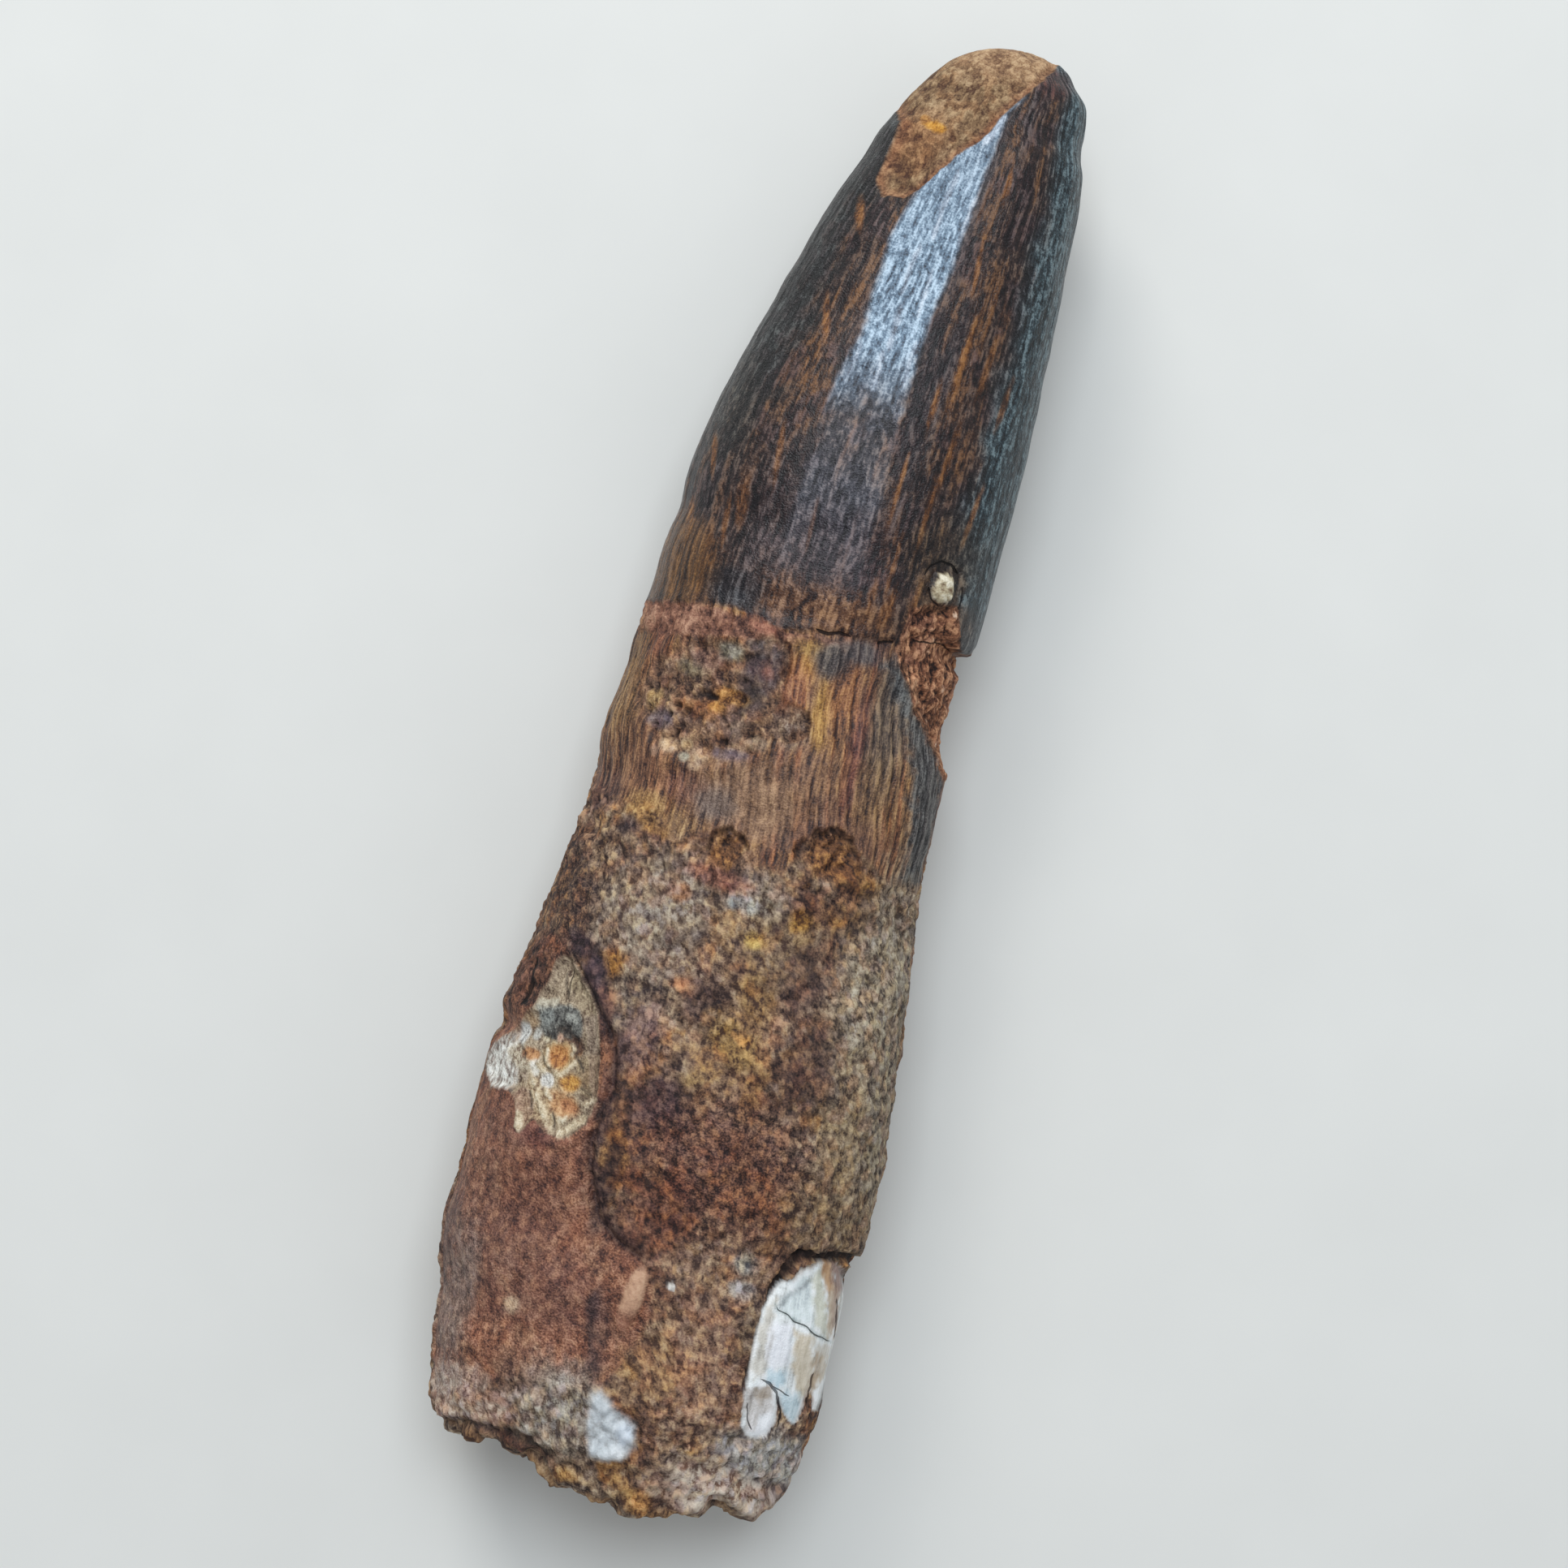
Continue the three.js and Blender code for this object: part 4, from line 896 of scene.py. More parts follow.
# ---- bare dentine details
for px_, py_, rx_, ry_, turn_, st_, to_, li_, da_ in [
    (985, 825, 1.2, 0.9, 0, 0.8, (150, 98, 62), (188, 134, 88), (80, 48, 38)),
    (978, 858, 1.0, 1.8, 8, 0.8, (142, 90, 64), (182, 130, 92), (76, 46, 38)),
    (1000, 812, 0.8, 1.2, 20, 0.7, (160, 112, 54), (198, 150, 82), (86, 54, 34)),
    (972, 900, 1.4, 1.3, 0, 0.7, (112, 94, 80), (176, 160, 138), (46, 36, 34)),
    (1012, 880, 0.6, 2.6, 8, 0.8, (166, 122, 60), (206, 164, 92), (86, 56, 34)),
    (1040, 850, 1.1, 3.0, 6, 0.8, (146, 96, 62), (190, 138, 92), (74, 46, 36)),
    (1000, 798, 1.4, 0.6, 0, 0.8, (150, 114, 64), (186, 150, 92), (78, 56, 40)),
    (1026, 814, 1.3, 1.4, 0, 0.9, (76, 72, 72), (122, 114, 106), (32, 29, 32)),
    (1062, 804, 1.4, 1.0, 0, 0.9, (60, 56, 60), (104, 98, 96), (26, 24, 28)),
    (880, 985, 1.5, 1.3, 0, 0.8, (100, 88, 84), (138, 124, 116), (56, 46, 46)),
    (1092, 900, 1.5, 5.4, 5, 0.8, (84, 74, 66), (134, 118, 98), (38, 32, 31)),
    (1055, 930, 0.45, 4.4, 5, 0.7, (92, 52, 50), (134, 84, 70), (46, 26, 28)),
    (1075, 985, 1.3, 3.0, 4, 0.6, (122, 92, 64), (168, 134, 94), (56, 40, 34)),
    (772, 850, 1.1, 5.0, 6, 0.6, (126, 96, 62), (170, 138, 94), (58, 42, 32)),
    (800, 950, 2.2, 2.0, 0, 0.7, (128, 88, 64), (180, 132, 98), (58, 38, 34)),
    (850, 970, 2.0, 1.2, 0, 0.7, (122, 80, 66), (168, 120, 98), (60, 36, 36)),
    (765, 930, 1.6, 2.4, 0, 0.7, (108, 74, 56), (166, 126, 92), (44, 28, 27)),
    (1010, 960, 1.6, 2.0, 0, 0.6, (116, 86, 68), (160, 124, 96), (60, 42, 38)),
    (1040, 1030, 3.6, 1.6, 0, 0.6, (110, 78, 62), (150, 112, 86), (54, 36, 34)),
    (800, 985, 1.4, 0.7, 0, 0.7, (150, 114, 74), (194, 158, 108), (76, 50, 40)),
    (745, 975, 1.0, 1.8, 0, 0.7, (92, 66, 60), (138, 104, 86), (42, 28, 30))]:
    lay(dab(px_, py_, rx_, ry_, turn_, 0.4, 0.5) * (1 - E) * (1 - PT * 0.8) * (1 - R) * st_, to_, li_, da_)
lay(W * patch([(1089, 818), (1104, 860), (1114, 900), (1124, 961), (1120, 1021), (1110, 1092), (1134, 1096), (1152, 1051), (1168, 965),
               (1143, 902), (1126, 876), (1120, 848), (1112, 818)], 0.60, 0.85) * 0.88, (66, 70, 73), (112, 117, 118), (25, 26, 29), kg=1.4)
lay(W * dab(925, 985, 3.9, 2.7, 0, 0.6, 0.6) * 0.9, (138, 106, 82), (184, 148, 116), (74, 50, 39), 0.6 * plain + 0.5 * wood, 1.0, 1.0)
lay(W * dab(880, 990, 1.5, 1.2, 0, 0.4, 0.5) * 0.7, (104, 90, 84), (142, 128, 118), (58, 48, 46))
# painted shadow along the upper edges of the arched pits
lay(ARCH_EDGE_SHADE * 0.9, (42, 28, 23), (78, 54, 42), (17, 11, 11), rubble, 0.0, 1.0, 0.85)
# ---- crust and ground, seen from above
NAMED = [
    # px, py, rx, ry, turn, strength, tone, lite, dark
    (812, 1128, 4.0, 4.6, 0, 0.85, (136, 122, 108), (180, 169, 152), (78, 63, 56)),
    (700, 1105, 2.0, 4.6, 10, 0.85, (84, 64, 56), (140, 104, 74), (34, 24, 26)),
    (930, 1110, 2.2, 1.7, 0, 0.75, (146, 138, 126), (192, 186, 174), (80, 66, 58)),
    (921, 1116, 0.8, 0.5, -20, 0.9, (178, 178, 170), (212, 212, 204), (104, 100, 96)),
    (960, 1170, 3.6, 2.6, 0, 0.7, (141, 117, 89), (184, 157, 117), (79, 56, 46)),
    (793, 998, 1.3, 1.1, 0, 0.85, (160, 120, 72), (206, 170, 112), (80, 54, 38)),
    (830, 1015, 1.6, 0.8, 0, 0.6, (144, 112, 78), (190, 160, 116), (78, 54, 42)),
    (775, 1015, 0.9, 0.7, 20, 0.8, (70, 56, 60), (112, 94, 92), (32, 24, 28)),
    (755, 1186, 1.0, 1.0, 0, 0.9, (160, 110, 50), (200, 150, 76), (80, 50, 32)),
    (929, 1159, 0.8, 0.6, 0, 0.9, (184, 150, 84), (216, 188, 118), (100, 72, 46)),
    (987, 1136, 0.9, 0.8, 0, 0.85, (168, 122, 56), (204, 160, 84), (86, 56, 34)),
    (1071, 1094, 0.9, 0.8, 0, 0.85, (164, 116, 52), (202, 156, 80), (84, 54, 34)),
    (1040, 1075, 2.2, 1.2, -30, 0.7, (112, 76, 46), (166, 118, 66), (48, 32, 28)),
    (857, 1335, 1.2, 1.0, 0, 0.9, (174, 142, 93), (208, 178, 118), (92, 66, 46)),
    (890, 1320, 3.0, 2.6, 0, 0.6, (136, 107, 82), (184, 150, 104), (66, 44, 36)),
    (845, 1213, 1.0, 0.7, 0, 0.8, (164, 116, 86), (198, 154, 118), (96, 62, 48)),
    (870, 1195, 2.6, 1.6, 0, 0.6, (146, 118, 98), (190, 166, 138), (74, 52, 44)),
    (780, 1240, 1.6, 2.8, 0, 0.7, (116, 102, 90), (164, 150, 130), (54, 42, 40)),
    (866, 1238, 1.6, 1.9, 0, 0.75, (82, 60, 54), (128, 98, 84), (34, 23, 25)),
    (1075, 1230, 2.8, 8.0, 4, 0.85, (156, 143, 123), (196, 188, 167), (76, 66, 58)),
    (1060, 1420, 3.0, 8.0, 6, 0.85, (143, 123, 97), (184, 164, 132), (66, 51, 43)),
    (1100, 1330, 1.6, 10, 6, 0.7, (133, 123, 107), (176, 168, 148), (56, 49, 44)),
    (992, 1208, 1.9, 2.6, 0, 0.85, (78, 58, 54), (124, 96, 82), (32, 23, 25)),
    (1050, 1120, 1.8, 1.6, -20, 0.7, (96, 70, 52), (150, 112, 72), (40, 27, 25)),
    (1010, 1300, 1.6, 3.0, 0, 0.5, (94, 70, 60), (142, 112, 88), (42, 30, 30)),
    (930, 1270, 2.2, 2.0, 0, 0.5, (130, 94, 72), (178, 138, 102), (60, 40, 36)),
    (890, 1430, 6.0, 4.4, 0, 0.85, (100, 66, 57), (154, 108, 84), (38, 24, 24)),
    (806, 1356, 2.9, 2.0, 20, 0.85, (72, 50, 52), (118, 90, 84), (28, 18, 22)),
    (770, 1300, 0.9, 2.4, 0, 0.7, (78, 56, 54), (126, 98, 86), (32, 22, 24)),
    (810, 1500, 3.2, 3.4, 0, 0.8, (104, 62, 48), (154, 100, 70), (42, 25, 24)),
    (940, 1500, 4.0, 3.0, 0, 0.7, (114, 76, 58), (164, 118, 84), (48, 30, 28)),
    (985, 1330, 2.2, 3.6, 0, 0.75, (84, 62, 54), (132, 102, 82), (34, 24, 25)),
    (905, 1285, 2.4, 1.4, -30, 0.8, (150, 118, 68), (198, 162, 102), (72, 48, 33)),
    (930, 1230, 1.2, 2.0, 20, 0.65, (148, 114, 68), (192, 156, 98), (74, 50, 36)),
    (890, 1600, 4.2, 4.6, 0, 0.75, (135, 107, 88), (186, 158, 128), (66, 47, 40)),
    (870, 1700, 5.0, 5.0, 0, 0.75, (140, 108, 89), (190, 158, 126), (70, 48, 40)),
    (800, 1690, 2.4, 2.6, 0, 0.6, (142, 108, 74), (190, 156, 106), (72, 48, 36)),
    (1000, 1500, 2.0, 2.4, 20, 0.6, (126, 106, 82), (174, 154, 122), (62, 46, 38)),
    (918, 1558, 0.9, 0.8, 0, 0.8, (150, 148, 142), (196, 194, 188), (60, 58, 62)),
    (921, 1558, 0.35, 0.3, 0, 0.9, (62, 62, 70), (98, 98, 104), (34, 34, 40)),
    (914, 1590, 0.9, 0.7, 0, 0.8, (162, 158, 152), (198, 194, 188), (92, 82, 76)),
    (925, 1640, 1.0, 2.4, 0, 0.6, (112, 96, 80), (160, 142, 116), (54, 42, 38)),
    (955, 1805, 4.2, 2.2, 0, 0.85, (168, 167, 162), (208, 207, 204), (104, 98, 95)),
    (960, 1842, 1.6, 0.9, 0, 0.8, (96, 60, 52), (142, 100, 84), (42, 26, 27)),
    (876, 1838, 4.6, 1.9, 0, 0.9, (198, 182, 166), (216, 204, 187), (120, 94, 80)),
    (800, 1815, 1.8, 1.8, 0, 0.6, (116, 86, 70), (164, 132, 106), (52, 36, 34)),
    (682, 1735, 3.2, 3.2, 0, 0.9, (152, 144, 132), (196, 190, 177), (84, 71, 63)),
    (560, 1720, 2.6, 2.2, -20, 0.95, (174, 152, 137), (212, 198, 182), (98, 74, 64)),
    (606, 1738, 1.6, 1.2, -25, 0.85, (176, 150, 132), (210, 192, 174), (104, 78, 66)),
    # painted shade on the dark underside below the lobe
    (590, 1796, 4.4, 0.8, -22, 0.85, (76, 42, 35), (128, 78, 56), (28, 15, 15)),
    (697, 1818, 0.9, 0.7, 0, 0.9, (172, 130, 78), (206, 168, 112), (92, 60, 38)),
    (784, 1850, 1.1, 0.8, 0, 0.9, (176, 136, 84), (210, 174, 118), (94, 62, 40)),
    (640, 1560, 3.4, 4.2, 0, 0.6, (130, 94, 80), (168, 134, 112), (76, 48, 42)),
    (600, 1500, 2.6, 3.0, 0, 0.5, (122, 88, 76), (164, 128, 106), (66, 42, 38)),
    (660, 1480, 2.6, 5.0, 0, 0.6, (112, 72, 58), (154, 108, 84), (58, 34, 32)),
    (700, 1600, 2.0, 2.8, 0, 0.6, (116, 76, 66), (156, 114, 94), (58, 35, 34)),
    (737, 1650, 0.7, 3.0, 6, 0.6, (84, 60, 57), (124, 96, 88), (40, 27, 29)),
    (731, 1608, 0.55, 1.6, 0, 0.85, (64, 44, 46), (102, 78, 76), (30, 21, 24)),
    (627, 1607, 0.55, 0.6, 0, 0.9, (188, 164, 136), (212, 192, 166), (130, 100, 84)),
    (560, 1600, 1.2, 5.0, 4, 0.7, (126, 110, 102), (170, 156, 146), (68, 54, 51)),
    (548, 1530, 0.9, 4.0, 4, 0.6, (90, 76, 74), (136, 120, 110), (46, 37, 39)),
    (640, 1690, 2.0, 1.4, 0, 0.6, (130, 96, 78), (174, 140, 114), (66, 45, 40)),
    (745, 1312, 0.42, 2.2, 0, 0.85, (156, 106, 76), (190, 140, 104), (84, 52, 40)),
    (745, 1340, 0.45, 1.4, 0, 0.8, (124, 82, 66), (160, 116, 92), (70, 44, 38)),
    (746, 1255, 0.55, 1.8, 0, 0.8, (104, 68, 58), (146, 104, 84), (52, 32, 30)),
    (742, 1225, 0.4, 1.6, 14, 0.7, (92, 62, 60), (134, 96, 84), (44, 28, 32)),
    (734, 1200, 0.8, 1.8, 0, 0.95, (60, 47, 56), (96, 78, 84), (27, 19, 26)),
    (716, 1163, 1.2, 0.9, -30, 0.9, (66, 50, 56), (104, 84, 86), (30, 21, 26)),
    (885, 1082, 2.7, 0.7, -4, 0.85, (136, 90, 76), (180, 132, 112), (66, 40, 36)),
    (838, 1098, 0.9, 0.7, 0, 0.85, (170, 124, 94), (202, 160, 128), (96, 64, 48)),
    (790, 1276, 1.3, 2.6, 0, 0.7, (132, 104, 96), (176, 146, 134), (66, 46, 46)),
    (905, 1112, 0.5, 0.5, 0, 0.8, (98, 104, 108), (140, 146, 148), (48, 48, 52)),
    # painted shadow: a dark band to the right of the groove, cast by the raised ground beside it
    (748, 1460, 0.7, 3.8, 0, 0.8, (58, 40, 40), (100, 74, 64), (28, 18, 22)),
    (738, 1400, 0.65, 2.8, -8, 0.75, (62, 43, 44), (104, 78, 70), (28, 19, 23)),
    (652, 1212, 1.0, 1.6, -20, 0.9, (66, 44, 38), (118, 84, 66), (24, 15, 16)),
    (616, 1400, 1.6, 3.0, 0, 0.6, (118, 82, 68), (156, 118, 98), (64, 40, 36)),
    (690, 1425, 2.4, 0.9, 0, 0.7, (132, 88, 70), (174, 128, 102), (74, 46, 40)),
    (655, 1398, 1.6, 0.9, 0, 0.8, (104, 62, 56), (140, 94, 80), (56, 32, 32)),
]
for px_, py_, rx_, ry_, turn_, str_, to_, li_, da_ in NAMED:
    lay(dab(px_, py_, rx_, ry_, turn_, 0.5, 0.5) * str_ * (1 - E) * (1 - I) * (1 - L), to_, li_, da_)
lay(dab(745, 1770, 1.2, 1.4, 0, 0.3) * 0.6, (140, 140, 136), (186, 188, 184), (84, 78, 74))
lay(np.maximum(dab(652, 1212, 1.3, 2.6, -24, 0.3), dab(676, 1176, 1.4, 1.8, -30, 0.3)) * (1 - L), (92, 62, 50), (146, 104, 82), (28, 17, 16), rubble, 0.0, 1.1, 0.8)
# grains of the crust differ in hue
loose = np.clip(C + PT + G * 0.5 + S * 0.5 + END, 0, 1) * (1 - I) * (1 - L) * (1 - E)
tint(loose * step(0.60, 0.72, awho2) * 0.55, 1.12, 1.00, 0.78)
tint(loose * step(0.62, 0.74, (awho * 57.7) % 1) * 0.65, 0.86, 0.87, 1.02)
tint(loose * step(0.66, 0.78, (bwho * 31.3) % 1) * 0.7, 1.10, 0.92, 0.86)
tint(loose * step(0.30, 0.80, even(iso(1.5, 108, 2))) * 0.40, 1.07, 1.02, 0.88)
lay(dab(890, 1430, 6.0, 4.4, 0, 0.5, 0.5) * C, kg=1.7)
lay(dab(700, 1105, 2.0, 4.6, 10, 0.5, 0.5) * C, kg=1.6)
lay(G, kg=1.5)
tint(loose * step(0.30, 0.80, even(iso(1.3, 109, 2))) * 0.5, 0.90, 0.92, 1.02)
lay(arch * 0.85, (118, 78, 50), (186, 134, 78), (38, 24, 22), rubble, 0, 1.0)
# painted shadow: dark lines along the groove, down its lower run and under the lobe's edge
lay(np.exp(-((sd_gr - 0.25) / 0.70) ** 2) * GROOVE_W * step(-1.0, 0.2, i17) * 0.95, (62, 43, 44), (106, 80, 72), (26, 17, 20), rubble)
lay(np.exp(-(sd_gr / 0.26) ** 2) * GROOVE_W * step(-0.6, 0.4, i17) * 0.75, (46, 31, 32), (88, 64, 56), (20, 13, 15))
lay(stroke([(733, 1592), (728, 1606), (730, 1622), (725, 1644), (729, 1668), (737, 1700)], 0.24, 0.9, 0.2) * 0.75, (56, 39, 40), (96, 72, 68), (26, 18, 21))
lay(step(0.0, 0.35, -sd_lb + 0.15 * n_edge) * (1 - step(2.2, 3.4, -sd_lb)) * LOBE_W * 0.8, (72, 44, 36), (126, 84, 62), (26, 16, 15), rubble)
lay(np.exp(-(sd_lb / 0.30) ** 2) * LOBE_W * 0.85, (40, 26, 24), (80, 54, 44), (20, 13, 14))
# lumps and fill of the broken end
lay(END, (124, 96, 74), (178, 148, 114), (50, 33, 30), grain, 0.0, 1.0, 0.78)
lay(END * step(0.1, 0.8, n11) * 0.8, (146, 128, 110), (196, 180, 158), (72, 54, 46))
lay(FILL, (140, 106, 72), (196, 160, 116), (60, 40, 32), np.clip(0.80 * rubble + 0.22 * i17 + 0.15 * i35, -1.2, 1.15), 0.0, 1.2, 0.86)
lay(FILL * step(0.0, 0.8, n22) * 0.75, (118, 82, 60), (172, 128, 92), (52, 34, 28))
lay(FILL * step(0.2, 0.9, -n22b) * 0.8, (160, 132, 98), (206, 182, 146), (86, 62, 46))
lay(FILL * fleck_up * 0.7, (190, 172, 146), (220, 206, 184), (120, 98, 78))
lay(END * np.exp(-(SD_F / 0.45) ** 2) * step(-0.7, 0.6, even(iso(2.0, 171, 2))) * 0.9, (78, 52, 42), (126, 88, 66), (34, 22, 20))
for x0, z0, r0 in ((-8.6, 15.0, 1.0), (-3.0, 16.2, 1.1), (1.2, 17.0, 0.9), (6.0, 16.5, 1.0)):
    q = np.hypot((P[:, 0] - x0) / r0, (P[:, 2] - z0) / (0.8 * r0)) + 0.5 * n_edge + 0.2 * n_fine
    lay(END * (1 - step(0.5, 1.3, q)) * 0.7, (160, 118, 74), (202, 160, 108), (78, 52, 38))

# ---- chipped tip: sandy core with an ochre spot and a thin reddish rim
lay(S, (130, 103, 75), (177, 149, 114), (74, 50, 37), sandy, 0.0, 1.1, 0.86)
lay(S * step(0.0, 0.8, n11) * 0.7, (124, 90, 62), (172, 134, 96), (70, 44, 33))
lay(S * step(0.2, 0.9, -n22) * 0.6, (158, 130, 98), (200, 174, 140), (98, 68, 50))
lay(S * dab(1130, 170, 1.6, 2.4, -30, 0.5, 0.6) * 0.6, (132, 88, 56), (176, 126, 84), (78, 46, 34))
lay(S * (1 - step(0.1, 0.9, SD_S)) * 0.55, (130, 80, 56), (170, 116, 80), (70, 40, 32))
lay(S * step(-0.4, 1.2, Y - pm(1225, 95)[1]) * 0.5, (168, 132, 98), (200, 168, 132), (110, 78, 56))
lay(S * dab(1149, 149, 0.85, 0.40, 5, 0.3, 0.3), (190, 134, 54), (216, 166, 86), (130, 84, 36))
lay(S * dab(1137, 141, 0.4, 0.3, 0, 0.3, 0.3) * 0.8, (166, 116, 60), (196, 150, 88), (110, 70, 40))

# ---- pale fragment
lay(I, (229, 233, 233), (247, 249, 250), (166, 168, 166), np.clip(0.18 * fib_a + 0.28 * f45 + 0.28 * f26 + 0.26 * i08 + 0.26 * i05 + 0.22 * i17 + 0.22, -0.9, 1), 0.6, 0.5, 0.34)
IVORY = [
    ([(958, 1612), (975, 1590), (990, 1572), (1000, 1575), (1002, 1600), (1003, 1636), (990, 1630), (970, 1618)], 0.9, (206, 217, 217), (226, 236, 240), (160, 172, 178)),
    ([(1000, 1575), (1014, 1562), (1018, 1600), (1022, 1650), (1012, 1645), (1004, 1630)], 0.9, (180, 180, 160), (206, 206, 188), (134, 134, 114)),
    ([(1014, 1560), (1030, 1558), (1034, 1600), (1028, 1648), (1020, 1650), (1018, 1600)], 0.9, (174, 148, 117), (200, 177, 150), (118, 88, 66)),
    ([(1016, 1558), (1028, 1558), (1028, 1590), (1018, 1596)], 0.9, (164, 118, 76), (190, 146, 102), (112, 74, 50)),
    ([(1030, 1556), (1046, 1562), (1045, 1590), (1036, 1598), (1030, 1580)], 0.95, (112, 76, 64), (150, 110, 92), (66, 42, 38)),
    ([(984, 1560), (1010, 1552), (1012, 1558), (992, 1568), (978, 1577)], 0.9, (146, 126, 110), (178, 160, 142), (96, 76, 66)),
    ([(944, 1612), (956, 1600), (952, 1640), (944, 1690), (928, 1702), (928, 1670), (934, 1640)], 0.8, (186, 178, 164), (208, 202, 190), (130, 122, 112)),
    ([(952, 1628), (975, 1632), (978, 1660), (972, 1680), (950, 1690), (942, 1670)], 0.85, (216, 218, 230), (232, 234, 244), (180, 182, 194)),
    ([(980, 1640), (1000, 1648), (1006, 1690), (1000, 1720), (984, 1722), (976, 1690)], 0.85, (192, 174, 144), (216, 200, 175), (142, 119, 92)),
    ([(1004, 1654), (1024, 1660), (1016, 1700), (1006, 1710), (1000, 1690)], 0.8, (184, 174, 156), (212, 204, 190), (128, 114, 100)),
    ([(946, 1690), (966, 1688), (972, 1704), (958, 1712), (944, 1704)], 0.85, (172, 200, 212), (200, 222, 232), (130, 156, 170)),
    ([(962, 1716), (984, 1716), (986, 1736), (977, 1754), (966, 1746)], 0.85, (176, 199, 208), (204, 220, 228), (122, 144, 156)),
    ([(922, 1712), (952, 1708), (956, 1740), (940, 1766), (922, 1764), (916, 1740)], 0.85, (180, 172, 166), (208, 202, 200), (120, 108, 102)),
    ([(932, 1712), (948, 1710), (950, 1722), (938, 1730)], 0.8, (142, 126, 108), (172, 156, 138), (96, 80, 68)),
    ([(942, 1742), (956, 1738), (954, 1754), (942, 1768), (930, 1768), (932, 1754)], 0.85, (206, 210, 218), (226, 230, 236), (160, 162, 172)),
    ([(996, 1714), (1002, 1716), (1000, 1736), (990, 1742), (988, 1730)], 0.9, (134, 100, 84), (166, 130, 112), (84, 58, 50)),
    ([(1034, 1596), (1042, 1592), (1040, 1640), (1033, 1640)], 0.9, (206, 206, 198), (226, 226, 220), (160, 156, 148)),
    ([(1024, 1590), (1032, 1584), (1034, 1612), (1031, 1640), (1026, 1646), (1026, 1612)], 0.8, (122, 88, 70), (158, 122, 98), (74, 50, 44)),
    ([(1004, 1664), (1012, 1668), (1009, 1692), (1004, 1714), (998, 1712), (1001, 1688)], 0.75, (146, 116, 84), (180, 150, 116), (92, 66, 48)),
    ([(1013, 1672), (1018, 1670), (1015, 1700), (1009, 1716), (1010, 1694)], 0.6, (160, 136, 104), (192, 170, 138), (104, 80, 60))]
for pts, st_, to_, li_, da_ in IVORY:
    lay(patch(pts, 0.26, 0.5) * I * st_, *(tuple(255 * (v / 255) ** (0.38 if to_[2] >= 218 else 0.84) for v in c_) for c_ in (to_, li_, da_)))
lay(stroke([(955, 1606), (959, 1615), (969, 1619), (980, 1629), (991, 1633), (1004, 1644), (1014, 1649), (1026, 1655)], 0.12, 0.5, 0.12) * I * 0.6, (124, 142, 138), (164, 180, 176), (84, 98, 96))
# painted shade: a blue-grey line along the step at the fragment's upper left edge
lay(stroke([(961, 1612), (968, 1600), (977, 1592), (990, 1586), (1000, 1577)], 0.16, 0.8, 0.18) * I * 0.6, (112, 116, 120), (150, 154, 158), (70, 72, 76))
lay(stroke([(953, 1640), (948, 1664), (943, 1686), (936, 1702)], 0.10, 0.8, 0.14) * I * 0.5, (132, 124, 112), (166, 158, 146), (84, 76, 68))
lay(stroke([(975, 1640), (973, 1668), (968, 1694)], 0.08, 0.8, 0.14) * I * 0.4, (150, 158, 162), (180, 188, 190), (110, 116, 120))
lay(I * (1 - step(0.0, 0.22, SD_I)) * 0.45, (130, 116, 104), (160, 146, 132), (90, 76, 68))
lay(np.exp(-((SD_I + 0.10) / 0.17) ** 2) * step(0.3, 0.7, N[:, 0]) * (1 - step(11.0, 13.5, P[:, 2])) * step(-0.9, 0.2, n_mid + n_fine) * 0.85,
    (48, 34, 29), (82, 60, 50), (24, 16, 16))
# painted shadow in the deep gap above and to the left of the pale fragment, under the crust's edge
lay(gap_top_shadow * 0.95, (34, 24, 22), (66, 48, 42), (17, 11, 12), rough=0.9)
lay(gap_left_shadow * 0.9, (46, 32, 28), (78, 58, 50), (24, 16, 16), rough=0.9)

# ---- grey-white plate, nub, tan nub, speck
IW = step(-0.30, 0.40, SD_W + 0.2 * n_fine)
lay(IW * 0.90, (199, 206, 210), (220, 226, 230), (146, 144, 142), np.clip(0.38 * i08 + 0.28 * i17 + 0.25 * i05 + 0.20, -0.9, 1), 0.1, 0.45, 0.55)
lay(IW * dab(771, 1766, 0.7, 0.8, 0, 0.4, 0.5) * 0.7, (200, 210, 222), (222, 230, 238), (156, 162, 170))
lay(step(-0.06, 0.08, SD_N), (182, 168, 138), (226, 218, 196), (112, 88, 66), np.clip(0.7 * i08 + 0.6 * i05 + 0.5 * (dwho - 0.5) * 2 + 0.1, -1, 1), 0, 0.8, 0.5)
# painted shadow in the nub's ring, strongest on its upper side
lay(np.exp(-((NUB - 1.32) / 0.20) ** 2) * TOP * (0.25 + 0.6 * NUB_UP), (48, 34, 30), (92, 68, 54), (20, 13, 13))
lay(np.exp(-((NUB - 1.5) / 0.35) ** 2) * TOP * (1 - NUB_UP) * 0.5, (104, 80, 58), (150, 122, 90), (52, 36, 28))
lay(np.where(TOP > 0.5, 1 - step(0.82, 1.12, TAN + 0.15 * n_edge), 0) * step(-2.2, -0.6, Y - pm(779, 1598)[1]), (186, 146, 118), (214, 180, 150), (124, 88, 70), 0.5 * skin, 0.2, 0.5)
lay(np.where(TOP > 0.5, 1 - step(0.82, 1.12, TAN + 0.15 * n_edge), 0) * step(0.6, 2.2, pm(779, 1598)[1] - Y) * 0.7, (152, 104, 84), (188, 142, 118), (92, 58, 48), 0.6 * skin, 0.2, 0.6)
lay(np.where(TOP > 0.5, 1 - step(0.8, 1.2, SPECK), 0), (238, 236, 230), (248, 246, 242), (196, 190, 182), kg=0.3)

